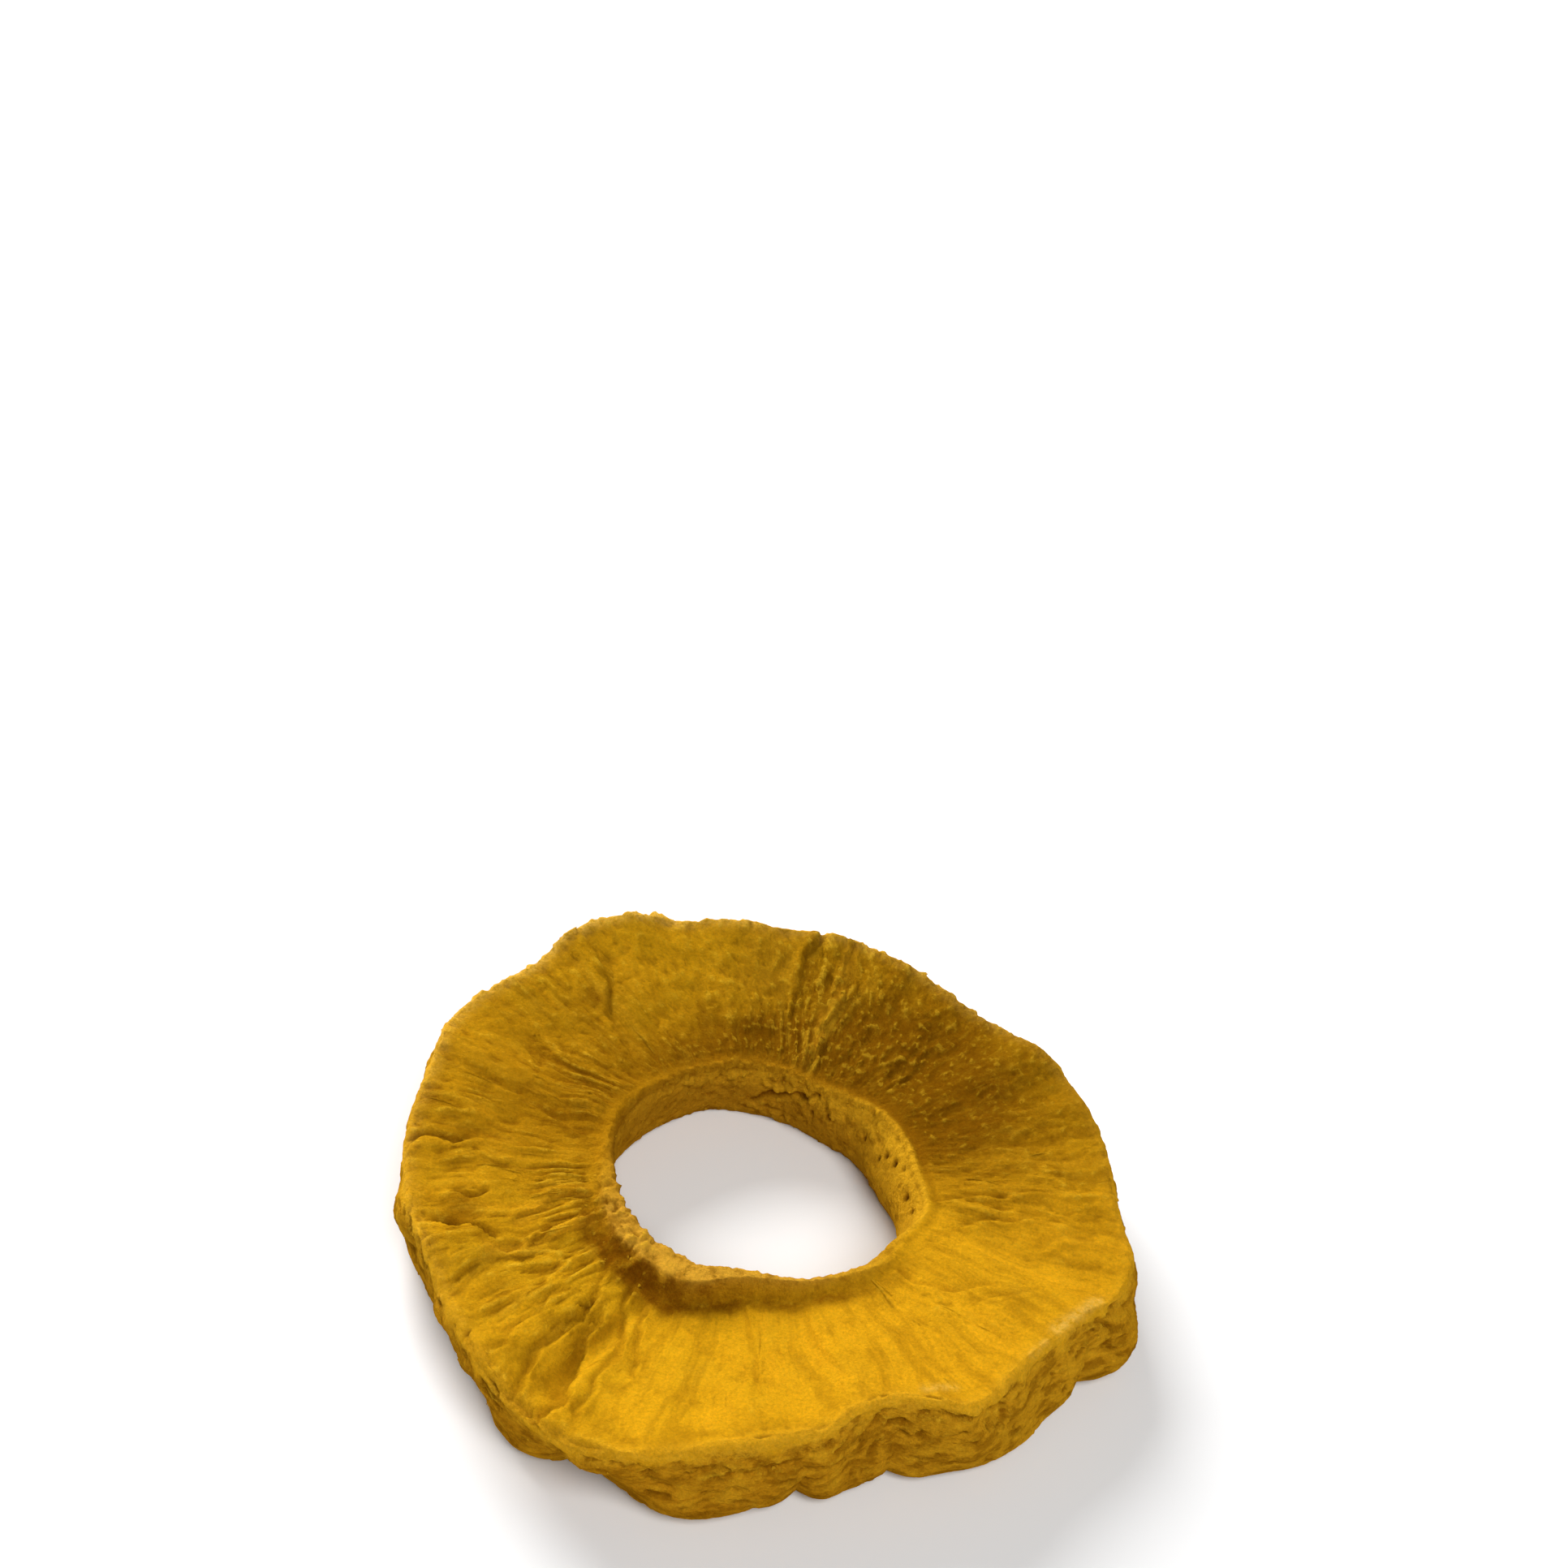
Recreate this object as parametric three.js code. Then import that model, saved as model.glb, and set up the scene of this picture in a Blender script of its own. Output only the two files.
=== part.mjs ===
// A ring of freeze-dried pineapple: one slice across the fruit, peeled and with its core punched out.
// The flesh has shrunk more than the tough fibres round the core, so a collar stands proud round the hole
// on both sides, and the face is a shallow bowl that climbs from the collar to a lobed rim.
//
// Millimetres and degrees, +Z up. The ring lies on z = 0, on the foot of its collar. Directions round the
// ring start at +X and run counter-clockwise, seen from above. The origin is the middle of its footprint.

import * as THREE from 'three';

// ---------------------------------------------------------------------------------------------------
// Driving dimensions. A lobe is [direction, height, half width]: a smooth bump added to a base value.

const RIM_RADIUS = 39.0; // upper outer edge
const RIM_LOBES = [
  [55, -2.1, 26], [100, -0.95, 58], [125, 3.7, 22], [156, 1.8, 18], [204, 0.3, 20], [228, 1.3, 18],
  [250, 4.6, 28], [285, -2.0, 14], [298, -4.2, 14], [324, -1.7, 18], [350, 2.2, 14],
];
const RIM_HEIGHT = 12.4;
const RIM_HEIGHT_LOBES = [
  [95, 0.5, 34], [100, 1.0, 60], [125, 0.5, 18], [242, -1.4, 34], [300, 0.3, 20], [355, -1.2, 42],
];
const RIM_EDGE = 0.8; // radius of the rounding between face and wall
const RIM_EDGE_LOBES = [[255, 1.8, 50], [310, 1.2, 45]];

const FOOT_RADIUS = 39.0; // lower outer edge
const FOOT_LOBES = [
  [60, -1.4, 30], [95, -0.6, 20], [125, 2.4, 24], [160, 1.6, 18], [214, -1.5, 24], [240, 2.0, 12],
  [265, 2.2, 14], [290, -1.3, 22], [294, -1.4, 9], [304, -1.3, 12], [321, 0.5, 10], [344, 1.0, 9],
  [350, 3.6, 26],
];
// Pointed notches between the scallops that the peeler left: [direction, depth, half width]
const FOOT_NOTCHES = [
  [20, 1.0, 6], [48, 1.2, 6], [78, 1.0, 6], [108, 1.2, 6], [142, 1.1, 6], [172, 1.0, 6], [192, 0.8, 5],
  [216, 0.8, 5], [231, 0.7, 5], [249, 1.0, 6], [283, 1.8, 6], [299, 1.5, 6], [336.5, 1.7, 6],
];
const FOOT_HEIGHT = 1.2; // how far the outer wall stops above the table
const FOOT_HEIGHT_LOBES = [[120, 0.5, 40], [200, 0.4, 30], [265, 0.5, 40], [340, 0.4, 30]];
const FOOT_EDGE = 1.0;

const HOLE_RADIUS = 16.3; // upper edge of the hole
const HOLE_LOBES = [
  [70, -1.3, 30], [110, 0.2, 34], [165, 0.6, 34], [215, 0.2, 30], [268, -1.0, 24], [315, 0.5, 28],
  [350, 1.5, 22],
];
const HOLE_EDGE = 0.5;
const HOLE_EDGE_LOBES = [[80, 0.4, 80]];
const HOLE_BULGE = 0.2; // how far the hole's wall stands into the hole half way up
const HOLE_BULGE_LOBES = [[25, 1.5, 75]];
const HOLE_FOOT_RADIUS = 16.4; // lower edge of the hole
const HOLE_FOOT_LOBES = [[30, -0.9, 25], [84, 0.5, 18], [115, 2.5, 42], [146, 1.2, 24], [162, 1.3, 22]];
const HOLE_FOOT_EDGE = 0.6;
const HOLE_FOOT_EDGE_LOBES = [[110, 1.2, 80]];

const COLLAR_TOP = 11.2; // thickness of the ring at its collar
const COLLAR_TOP_LOBES = [[85, -0.9, 80]];
const COLLAR_WIDTH = 0.7;
const COLLAR_WIDTH_LOBES = [[195, 0.6, 25], [235, 2.7, 52], [252, 0.8, 14], [325, 0.7, 22]];
const COLLAR_SLOPE = 1.9; // width of the step from the collar down to the flesh
const COLLAR_SLOPE_POWER = 0.62; // below 1, the step falls away quickly at its top
const VALLEY_DROP = 0.05; // height of that step
const VALLEY_DROP_LOBES = [[195, 0.7, 45], [258, 2.6, 70], [320, 0.7, 30]];
const BOWL_POWER = 1.5; // how late the face climbs from the valley to the rim

const COLLAR_FOOT_WIDTH = 2.6; // the flat that the ring rests on
const COLLAR_FOOT_SLOPE = 1.6;
const UNDERSIDE_HEIGHT = 2.0; // flesh above the table beside the collar's foot

// Folds that fan out from the collar: [waves round the ring, height, phase]
const FOLDS = [[11, 0.25, 40], [17, 0.2, 130], [23, 0.14, 250], [31, 0.1, 10]];
// Single creases along the fibres: [direction, half width, depth, inner radius, outer radius]
const CREASES = [
  [80, 4.0, 0.3, 20, 36], [128, 3.5, 0.5, 22, 40], [206, 3.0, 0.5, 30, 38], [243, 3.2, 0.9, 22, 39],
  [355, 3.0, -0.3, 18, 25],
];
const CREASE_RUN_IN = 3.0;

// Crags of the outer wall, the sockets of the fruit's eyes:
// [direction, half width, place down the wall, half height as a share of the wall, depth]
const SOCKETS = [
  [15, 6, 0.4, 0.22, 1.1], [42, 5, 0.6, 0.18, 1.0], [70, 6, 0.35, 0.2, 1.2], [100, 5, 0.6, 0.2, 1.0],
  [133, 6, 0.4, 0.2, 1.1], [165, 6, 0.55, 0.2, 1.0], [186, 4, 0.35, 0.2, 0.8], [206, 4, 0.4, 0.25, 0.8],
  [222, 6, 0.45, 0.2, 1.0], [262, 5, 0.55, 0.16, 0.9], [291, 4, 0.6, 0.15, 0.8], [314, 5, 0.22, 0.16, 1.2],
  [340, 6, 0.6, 0.2, 0.9],
];
const WALL_BULGE = 0.5;
// Wrinkles of the outer wall: [waves round the ring, waves down the wall, depth, phase]
const WRINKLES = [[13, 1, 0.3, 20], [21, 2, 0.22, 200], [34, 3, 0.15, 75]];

const COLUMNS = 132; // sections round the ring

// ---------------------------------------------------------------------------------------------------
// Small shape functions

const { cos, sin, PI, abs, min, max, sqrt } = Math;
const radians = (degrees) => (degrees * PI) / 180;
const mix = (a, b, t) => a + (b - a) * t;
const clamp = (x) => min(max(x, 0), 1);
const smooth = (x) => clamp(x) ** 2 * (3 - 2 * clamp(x));

// Degrees from one direction to another, the short way
function away(angle, direction) {
  return ((angle - direction + 540) % 360) - 180;
}

// 1 at its direction, falling smoothly to 0 at half a width away
function bump(angle, direction, halfWidth) {
  const offset = abs(away(angle, direction));
  return offset < halfWidth ? 0.5 + 0.5 * cos((PI * offset) / halfWidth) : 0;
}

function lobed(base, lobes, angle) {
  return lobes.reduce((sum, [at, height, halfWidth]) => sum + height * bump(angle, at, halfWidth), base);
}

// How much a rounded edge takes off, a distance in from that edge
function rounding(distance, radius) {
  const share = 1 - clamp(distance / radius);
  return radius * (1 - sqrt(1 - share * share));
}

// ---------------------------------------------------------------------------------------------------
// Radii and heights that change round the ring

const rim = (angle) => lobed(RIM_RADIUS, RIM_LOBES, angle);
const rimEdge = (angle) => lobed(RIM_EDGE, RIM_EDGE_LOBES, angle);
const hole = (angle) => lobed(HOLE_RADIUS, HOLE_LOBES, angle);
const holeEdge = (angle) => lobed(HOLE_EDGE, HOLE_EDGE_LOBES, angle);
const collarTop = (angle) => lobed(COLLAR_TOP, COLLAR_TOP_LOBES, angle);
const holeFoot = (angle) => lobed(HOLE_FOOT_RADIUS, HOLE_FOOT_LOBES, angle);
const holeFootEdge = (angle) => lobed(HOLE_FOOT_EDGE, HOLE_FOOT_EDGE_LOBES, angle);
const collarEnd = (angle) => hole(angle) + lobed(COLLAR_WIDTH, COLLAR_WIDTH_LOBES, angle);
const valley = (angle) => collarEnd(angle) + COLLAR_SLOPE;
const rimStart = (angle) => rim(angle) - rimEdge(angle);
const restStart = (angle) => holeFoot(angle) + holeFootEdge(angle);
const restEnd = (angle) => restStart(angle) + COLLAR_FOOT_WIDTH;
const underValley = (angle) => restEnd(angle) + COLLAR_FOOT_SLOPE;
const footStart = (angle) => foot(angle) - FOOT_EDGE;

function foot(angle) {
  const notched = FOOT_NOTCHES.reduce((sum, [at, depth, width]) => {
    return sum + depth * clamp(1 - abs(away(angle, at)) / width) ** 2;
  }, 0);
  return lobed(FOOT_RADIUS, FOOT_LOBES, angle) - notched;
}

function folds(angle) {
  return FOLDS.reduce((sum, [waves, height, phase]) => sum + height * sin(radians(waves * angle + phase)), 0);
}

function crease(radius, angle) {
  const depthHere = ([at, halfWidth, depth, from, to]) => {
    const runIn = smooth((radius - from) / CREASE_RUN_IN);
    const runOut = 1 - smooth((radius - to) / CREASE_RUN_IN + 0.5);
    return depth * bump(angle, at, halfWidth) * runIn * runOut;
  };
  return CREASES.reduce((sum, one) => sum + depthHere(one), 0);
}

// Height of the upper face
function faceHeight(radius, angle) {
  const along = clamp((radius - hole(angle)) / (rim(angle) - hole(angle)));
  const low = collarTop(angle) - lobed(VALLEY_DROP, VALLEY_DROP_LOBES, angle);
  const high = lobed(RIM_HEIGHT, RIM_HEIGHT_LOBES, angle);
  const flesh = mix(low, high, along ** BOWL_POWER) + folds(angle) * along ** 0.7;
  const downSlope = clamp((radius - collarEnd(angle)) / COLLAR_SLOPE);
  const onCollar = 1 - smooth(downSlope ** COLLAR_SLOPE_POWER);
  const innerEdge = rounding(radius - hole(angle), holeEdge(angle));
  const outerEdge = rounding(rim(angle) - radius, rimEdge(angle));
  return mix(flesh, collarTop(angle), onCollar) - crease(radius, angle) - innerEdge - outerEdge;
}

// Height of the underside: 0 on the collar's foot
function undersideHeight(radius, angle) {
  const along = clamp((radius - restEnd(angle)) / (foot(angle) - restEnd(angle)));
  const inner = UNDERSIDE_HEIGHT + 0.5 * folds(angle + 100);
  const flesh = mix(inner, lobed(FOOT_HEIGHT, FOOT_HEIGHT_LOBES, angle), along ** BOWL_POWER);
  const offCollar = smooth((radius - restEnd(angle)) / COLLAR_FOOT_SLOPE);
  const innerEdge = rounding(radius - holeFoot(angle), holeFootEdge(angle));
  const outerEdge = rounding(foot(angle) - radius, FOOT_EDGE);
  return flesh * offCollar + innerEdge + outerEdge;
}

// ---------------------------------------------------------------------------------------------------
// The closed section, walked up the hole, out over the face, down the outer wall and back underneath.
// Each function gives [radius, height] a share t along its stretch.

function holeWall(t, angle) {
  const bulge = lobed(HOLE_BULGE, HOLE_BULGE_LOBES, angle) * sin(PI * t);
  const radius = mix(holeFoot(angle), hole(angle), t) - bulge;
  return [radius, mix(holeFootEdge(angle), collarTop(angle) - holeEdge(angle), t)];
}

function outerWall(t, angle) {
  const socketDepth = SOCKETS.reduce((sum, [at, halfWidth, place, halfHeight, depth]) => {
    const dip = clamp(1 - ((t - place) / halfHeight) ** 2);
    return sum + depth * bump(angle, at, halfWidth) * dip;
  }, 0);
  const wrinkle = WRINKLES.reduce((sum, [around, down, depth, phase]) => {
    return sum + depth * sin(radians(around * angle + phase)) * sin(PI * down * t);
  }, 0);
  const top = faceHeight(rim(angle), angle);
  const bottom = undersideHeight(foot(angle), angle);
  const radius = mix(rim(angle), foot(angle), smooth(t)) + WALL_BULGE * sin(PI * t);
  return [radius + wrinkle - socketDepth, mix(top, bottom, t)];
}

// A stretch of the face or the underside, from one radius to the next
function across(from, to, height) {
  return (t, angle) => {
    const radius = mix(from(angle), to(angle), t);
    return [radius, height(radius, angle)];
  };
}

const STRETCHES = [
  { steps: 5, point: holeWall },
  { steps: 2, point: across(hole, collarEnd, faceHeight) },
  { steps: 2, point: across(collarEnd, valley, faceHeight) },
  { steps: 12, point: across(valley, rimStart, faceHeight) },
  { steps: 3, point: across(rimStart, rim, faceHeight) },
  { steps: 10, point: outerWall },
  { steps: 1, point: across(foot, footStart, undersideHeight) },
  { steps: 4, point: across(footStart, underValley, undersideHeight) },
  { steps: 1, point: across(underValley, restEnd, undersideHeight) },
  { steps: 2, point: across(restEnd, restStart, undersideHeight) },
  { steps: 1, point: across(restStart, holeFoot, undersideHeight) },
];

// ---------------------------------------------------------------------------------------------------
// The solid: rows of the section by columns round the ring, closed both ways

function ringGeometry() {
  const positions = [];
  for (const { steps, point } of STRETCHES) {
    for (let step = 0; step < steps; step += 1) {
      for (let column = 0; column < COLUMNS; column += 1) {
        const angle = (column * 360) / COLUMNS;
        const [radius, height] = point(step / steps, angle);
        positions.push(radius * cos(radians(angle)), radius * sin(radians(angle)), height);
      }
    }
  }
  const rows = positions.length / 3 / COLUMNS;
  const indices = [];
  for (let row = 0; row < rows; row += 1) {
    for (let column = 0; column < COLUMNS; column += 1) {
      const nextRow = (row + 1) % rows;
      const nextColumn = (column + 1) % COLUMNS;
      const a = row * COLUMNS + column;
      const b = nextRow * COLUMNS + column;
      const c = nextRow * COLUMNS + nextColumn;
      const d = row * COLUMNS + nextColumn;
      indices.push(a, b, c, a, c, d);
    }
  }
  const geometry = new THREE.BufferGeometry();
  geometry.setAttribute('position', new THREE.Float32BufferAttribute(positions, 3));
  geometry.setIndex(indices);
  geometry.computeVertexNormals();
  geometry.computeBoundingBox();
  return geometry;
}

const dryFlesh = new THREE.MeshStandardMaterial({ color: 0xe8a314, roughness: 0.95, metalness: 0 });

// The lobes leave the hole off centre, so the ring is moved until its footprint is centred on the origin
function pineappleRing() {
  const mesh = new THREE.Mesh(ringGeometry(), dryFlesh);
  mesh.name = 'pineapple_ring';
  const middle = mesh.geometry.boundingBox.getCenter(new THREE.Vector3());
  mesh.position.set(-middle.x, -middle.y, 0);
  return mesh;
}

const group = new THREE.Group();
group.add(pineappleRing());

export default group;
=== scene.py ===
# %% [markdown]
# # A ring of freeze-dried pineapple
#
# The object is one slice across a pineapple, peeled, cored and freeze-dried: light, chalky and porous,
# with every fibre of the fruit standing in relief. The solid in the frame holds the true size and the
# large forms. This lesson gives it a surface and a finish. First comes the frame, which is loaded and
# then never touched.

import bpy
import numpy as np
from mathutils import Matrix, Vector


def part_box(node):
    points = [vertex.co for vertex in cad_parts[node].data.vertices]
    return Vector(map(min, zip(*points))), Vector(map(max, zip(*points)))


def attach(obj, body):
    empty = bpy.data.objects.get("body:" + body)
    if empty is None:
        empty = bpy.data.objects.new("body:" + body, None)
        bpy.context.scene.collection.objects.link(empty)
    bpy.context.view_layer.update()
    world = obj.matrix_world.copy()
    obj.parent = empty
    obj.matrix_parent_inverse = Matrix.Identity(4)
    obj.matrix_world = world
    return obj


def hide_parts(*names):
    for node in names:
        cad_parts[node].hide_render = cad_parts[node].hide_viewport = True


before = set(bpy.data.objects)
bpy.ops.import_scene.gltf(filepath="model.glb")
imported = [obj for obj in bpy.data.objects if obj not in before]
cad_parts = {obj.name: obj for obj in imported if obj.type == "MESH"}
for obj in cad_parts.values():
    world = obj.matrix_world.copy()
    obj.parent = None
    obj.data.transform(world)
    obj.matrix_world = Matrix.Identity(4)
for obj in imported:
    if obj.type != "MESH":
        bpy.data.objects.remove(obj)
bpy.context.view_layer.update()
NODE = "pineapple_ring"
BODY = "root"
MM = 0.001  # the shape is worked out in millimetres, and Blender's unit is the metre

# %% [markdown]
# ## The lobed outlines
#
# A peeled pineapple isn't round: the knife follows the rows of eyes and leaves lobes and notches. Each
# outline here is a circle with smooth bumps on it. A bump is written as (direction in degrees, height in
# millimetres, half width in degrees). Sculpting would give the same form, but nobody could say
# afterwards how large a lobe is.

# %% Directions, bumps and roundings
COLUMNS = 720
angles = np.arange(COLUMNS)[None, :] * 360 / COLUMNS  # the direction of every column of the ring's grid


def away(angle, direction):
    """Degrees from a direction to an angle, the short way."""
    return (angle - direction + 180) % 360 - 180


def bump(direction, half_width):
    offset = np.abs(away(angles, direction))
    return np.where(offset < half_width, 0.5 + 0.5 * np.cos(np.pi * offset / half_width), 0)


def lobed(base, lobes):
    """A value for every direction, raised and lowered by bumps."""
    return base + sum(height * bump(at, half_width) for at, height, half_width in lobes)


def mix(a, b, t):
    return a + (b - a) * t


def smooth(x):
    """0 below 0, 1 above 1, and an even rise between them."""
    x = np.clip(x, 0, 1)
    return x * x * (3 - 2 * x)


def bell(x):
    """1 at 0, fading out on both sides."""
    return np.exp(-(x**2))


def rounding(distance, radius):
    """How much a rounded edge takes off, a distance in from that edge."""
    share = 1 - np.clip(distance / radius, 0, 1)
    return radius * (1 - np.sqrt(1 - share * share))


print("a bump 40 degrees wide covers", np.count_nonzero(bump(0, 20)), "of", COLUMNS, "directions")

# %% Sizes of the rim, the foot, the hole and the collar, in millimetres and degrees
RIM_RADIUS = 39
HOLE_RADIUS = 16.3
FOOT_EDGE = 1
COLLAR_SLOPE = 1.9
COLLAR_SLOPE_POWER = 0.62
BOWL_POWER = 1.5
COLLAR_FOOT_WIDTH = 2.6
COLLAR_FOOT_SLOPE = 1.6
UNDERSIDE_HEIGHT = 2
# (direction, depth, half width) of notches that are narrower than the lobes
FOOT_NOTCHES = [
    (20, 1, 6), (48, 1.2, 6), (78, 1, 6), (108, 1.2, 6), (142, 1.1, 6), (172, 1, 6), (192, 0.8, 5),
    (216, 0.8, 5), (231, 0.7, 5), (249, 1, 6), (283, 1.8, 6), (299, 1.5, 6), (336.5, 1.7, 6),
]

rim = lobed(RIM_RADIUS, [
    (55, -2.1, 26), (100, -0.95, 58), (125, 3.7, 22), (156, 1.8, 18), (204, 0.3, 20), (228, 1.3, 18),
    (250, 4.6, 28), (285, -2, 14), (298, -4.2, 14), (324, -1.7, 18), (350, 2.2, 14),
])
rim_height = lobed(12.4, [
    (95, 0.5, 34), (100, 1, 60), (125, 0.5, 18), (242, -1.4, 34), (300, 0.3, 20), (355, -1.2, 42),
])
rim_edge = lobed(0.8, [(290, 0.3, 60)])
foot = lobed(39, [
    (60, -1.4, 30), (95, -0.6, 20), (125, 2.4, 24), (160, 1.6, 18), (214, -1.5, 24), (240, 2, 12),
    (265, 2.2, 14), (290, -1.3, 22), (294, -1.4, 9), (304, -1.3, 12), (321, 0.5, 10), (344, 1, 9),
    (350, 3.6, 26),
]) - sum(depth * np.clip(1 - np.abs(away(angles, at)) / width, 0, 1) ** 2
        for at, depth, width in FOOT_NOTCHES)
foot_height = lobed(1.2, [(120, 0.5, 40), (200, 0.4, 30), (265, 0.5, 40), (340, 0.4, 30)])
hole = lobed(HOLE_RADIUS, [
    (70, -1.3, 30), (110, 0.2, 34), (165, 0.6, 34), (215, 0.2, 30), (268, -1, 24), (315, 0.5, 28),
    (350, 1.5, 22),
])
hole_edge = lobed(0.5, [(80, 0.4, 80), (170, 0.7, 45)])
hole_bulge = lobed(0.2, [(25, 1.5, 75)])
hole_foot = lobed(16.4, [(30, -0.9, 25), (84, 0.5, 18), (115, 2.5, 42), (146, 1.2, 24), (162, 1.3, 22)])
hole_foot_edge = lobed(0.6, [(110, 1.2, 80)])
collar_top = lobed(11.2, [(85, -0.9, 80)])
collar_width = lobed(0.7, [(195, 0.6, 25), (235, 2.7, 52), (252, 0.8, 14), (325, 0.7, 22)])
valley_drop = lobed(0.05, [(195, 0.7, 45), (258, 2.6, 70), (320, 0.7, 30)])

rim_start = rim - rim_edge
foot_start = foot - FOOT_EDGE
collar_end = hole + collar_width
valley = collar_end + COLLAR_SLOPE
rest_start = hole_foot + hole_foot_edge
rest_end = rest_start + COLLAR_FOOT_WIDTH
under_valley = rest_end + COLLAR_FOOT_SLOPE
for name, size in [("rim", rim), ("foot", foot), ("hole", hole)]:
    print(name, "has a radius of", size.min().round(1), "to", size.max().round(1), "mm")

# %% [markdown]
# ## The face, the underside and the outer wall
#
# The flesh shrinks more than the core, so the face drops from the collar into a valley and climbs again to
# the rim. Shallow folds fan out over it, and a few deep creases follow single bundles of fibre. The outer
# wall keeps the sockets of the eyes. Each of these is a height or a radius added to the plain section.

# %% Folds, creases, sockets
# (waves round the ring, height, phase in degrees)
FOLDS = [(11, 0.25, 40), (17, 0.2, 130), (23, 0.14, 250), (31, 0.1, 10)]
FOLD_POWER = 0.7
# (direction, half width, depth or, if negative, height, radius where it starts, radius where it ends)
CREASES = [
    (79.7, 3.4, -0.35, 18, 37), (86, 3.2, 0.25, 24, 38), (72, 3, 0.15, 27, 37), (128, 3.5, 0.4, 22, 40),
    (206, 3, 0.3, 30, 38), (243, 3.2, 0.8, 22, 39), (355, 3, -0.3, 18, 25),
]
CREASE_RUN_IN = 3
# (direction, half width, how far down the wall from 0 to 1, half height on that scale, depth)
SOCKETS = [
    (15, 6, 0.4, 0.22, 1.1), (42, 5, 0.6, 0.18, 1), (70, 6, 0.35, 0.2, 1.2), (100, 5, 0.6, 0.2, 1),
    (133, 6, 0.4, 0.2, 1.1), (165, 6, 0.55, 0.2, 1), (186, 4, 0.35, 0.2, 0.8), (206, 4, 0.4, 0.25, 0.8),
    (222, 6, 0.45, 0.2, 1), (262, 5, 0.55, 0.16, 0.9), (291, 4, 0.6, 0.15, 0.8), (314, 5, 0.22, 0.16, 1.2),
    (340, 6, 0.6, 0.2, 0.9),
]
WALL_BULGE = 0.5
# (waves round the ring, waves down the wall, height, phase in degrees)
WRINKLES = [(13, 1, 0.3, 20), (21, 2, 0.22, 200), (34, 3, 0.15, 75)]


def folds(turned=0):
    return sum(height * np.sin(np.radians(waves * (angles + turned) + phase))
               for waves, height, phase in FOLDS)


def crease(radius):
    total = 0
    for at, half_width, depth, start, end in CREASES:
        run_in = smooth((radius - start) / CREASE_RUN_IN)
        run_out = 1 - smooth((radius - end) / CREASE_RUN_IN + 0.5)
        total = total + depth * bump(at, half_width) * run_in * run_out
    return total


def face_height(radius):
    along = np.clip((radius - hole) / (rim - hole), 0, 1)
    low = collar_top - valley_drop
    flesh = mix(low, rim_height, along**BOWL_POWER) + folds() * along**FOLD_POWER
    down_slope = np.clip((radius - collar_end) / COLLAR_SLOPE, 0, 1)
    on_collar = 1 - smooth(down_slope**COLLAR_SLOPE_POWER)
    edges = rounding(radius - hole, hole_edge) + rounding(rim - radius, rim_edge)
    return mix(flesh, collar_top, on_collar) - crease(radius) - edges


def underside_height(radius):
    along = np.clip((radius - rest_end) / (foot - rest_end), 0, 1)
    inner = UNDERSIDE_HEIGHT + 0.5 * folds(100)
    flesh = mix(inner, foot_height, along**BOWL_POWER)
    off_collar = smooth((radius - rest_end) / COLLAR_FOOT_SLOPE)
    edges = rounding(radius - hole_foot, hole_foot_edge)
    return flesh * off_collar + edges + rounding(foot - radius, FOOT_EDGE)


def hole_wall(t):
    """Radius and height on the wall of the hole, from its foot at t = 0 to its edge at t = 1."""
    bulge = hole_bulge * np.sin(np.pi * t)
    top = collar_top - hole_edge
    return mix(hole_foot, hole, t) - bulge, mix(hole_foot_edge, top, t)


def outer_wall(t):
    """Radius and height on the outer wall, from the rim at t = 0 to the foot at t = 1."""
    radius = mix(rim, foot, smooth(t)) + WALL_BULGE * np.sin(np.pi * t)
    for around, down, depth, phase in WRINKLES:
        radius = radius + depth * np.sin(np.radians(around * angles + phase)) * np.sin(np.pi * down * t)
    for at, half_width, place, half_height, depth in SOCKETS:
        dip = np.clip(1 - ((t - place) / half_height) ** 2, 0, 1)
        radius = radius - depth * bump(at, half_width) * dip
    return radius, mix(face_height(rim), underside_height(foot), t)


print("folds up to", folds().max().round(2), "mm high,", len(CREASES), "creases,", len(SOCKETS), "sockets")

# %% [markdown]
# ## Cracks and lifted flaps
#
# Drying splits the face here and there, and one side of a split lifts. A crack is a chain of places on the
# face, each (direction in degrees, radius in millimetres). Left of the way it runs, the flesh sinks; right
# of it, a lip stands up; and between them lies a narrow slit. All of that follows from the signed distance
# to the chain, so one function shapes them all.

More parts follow.
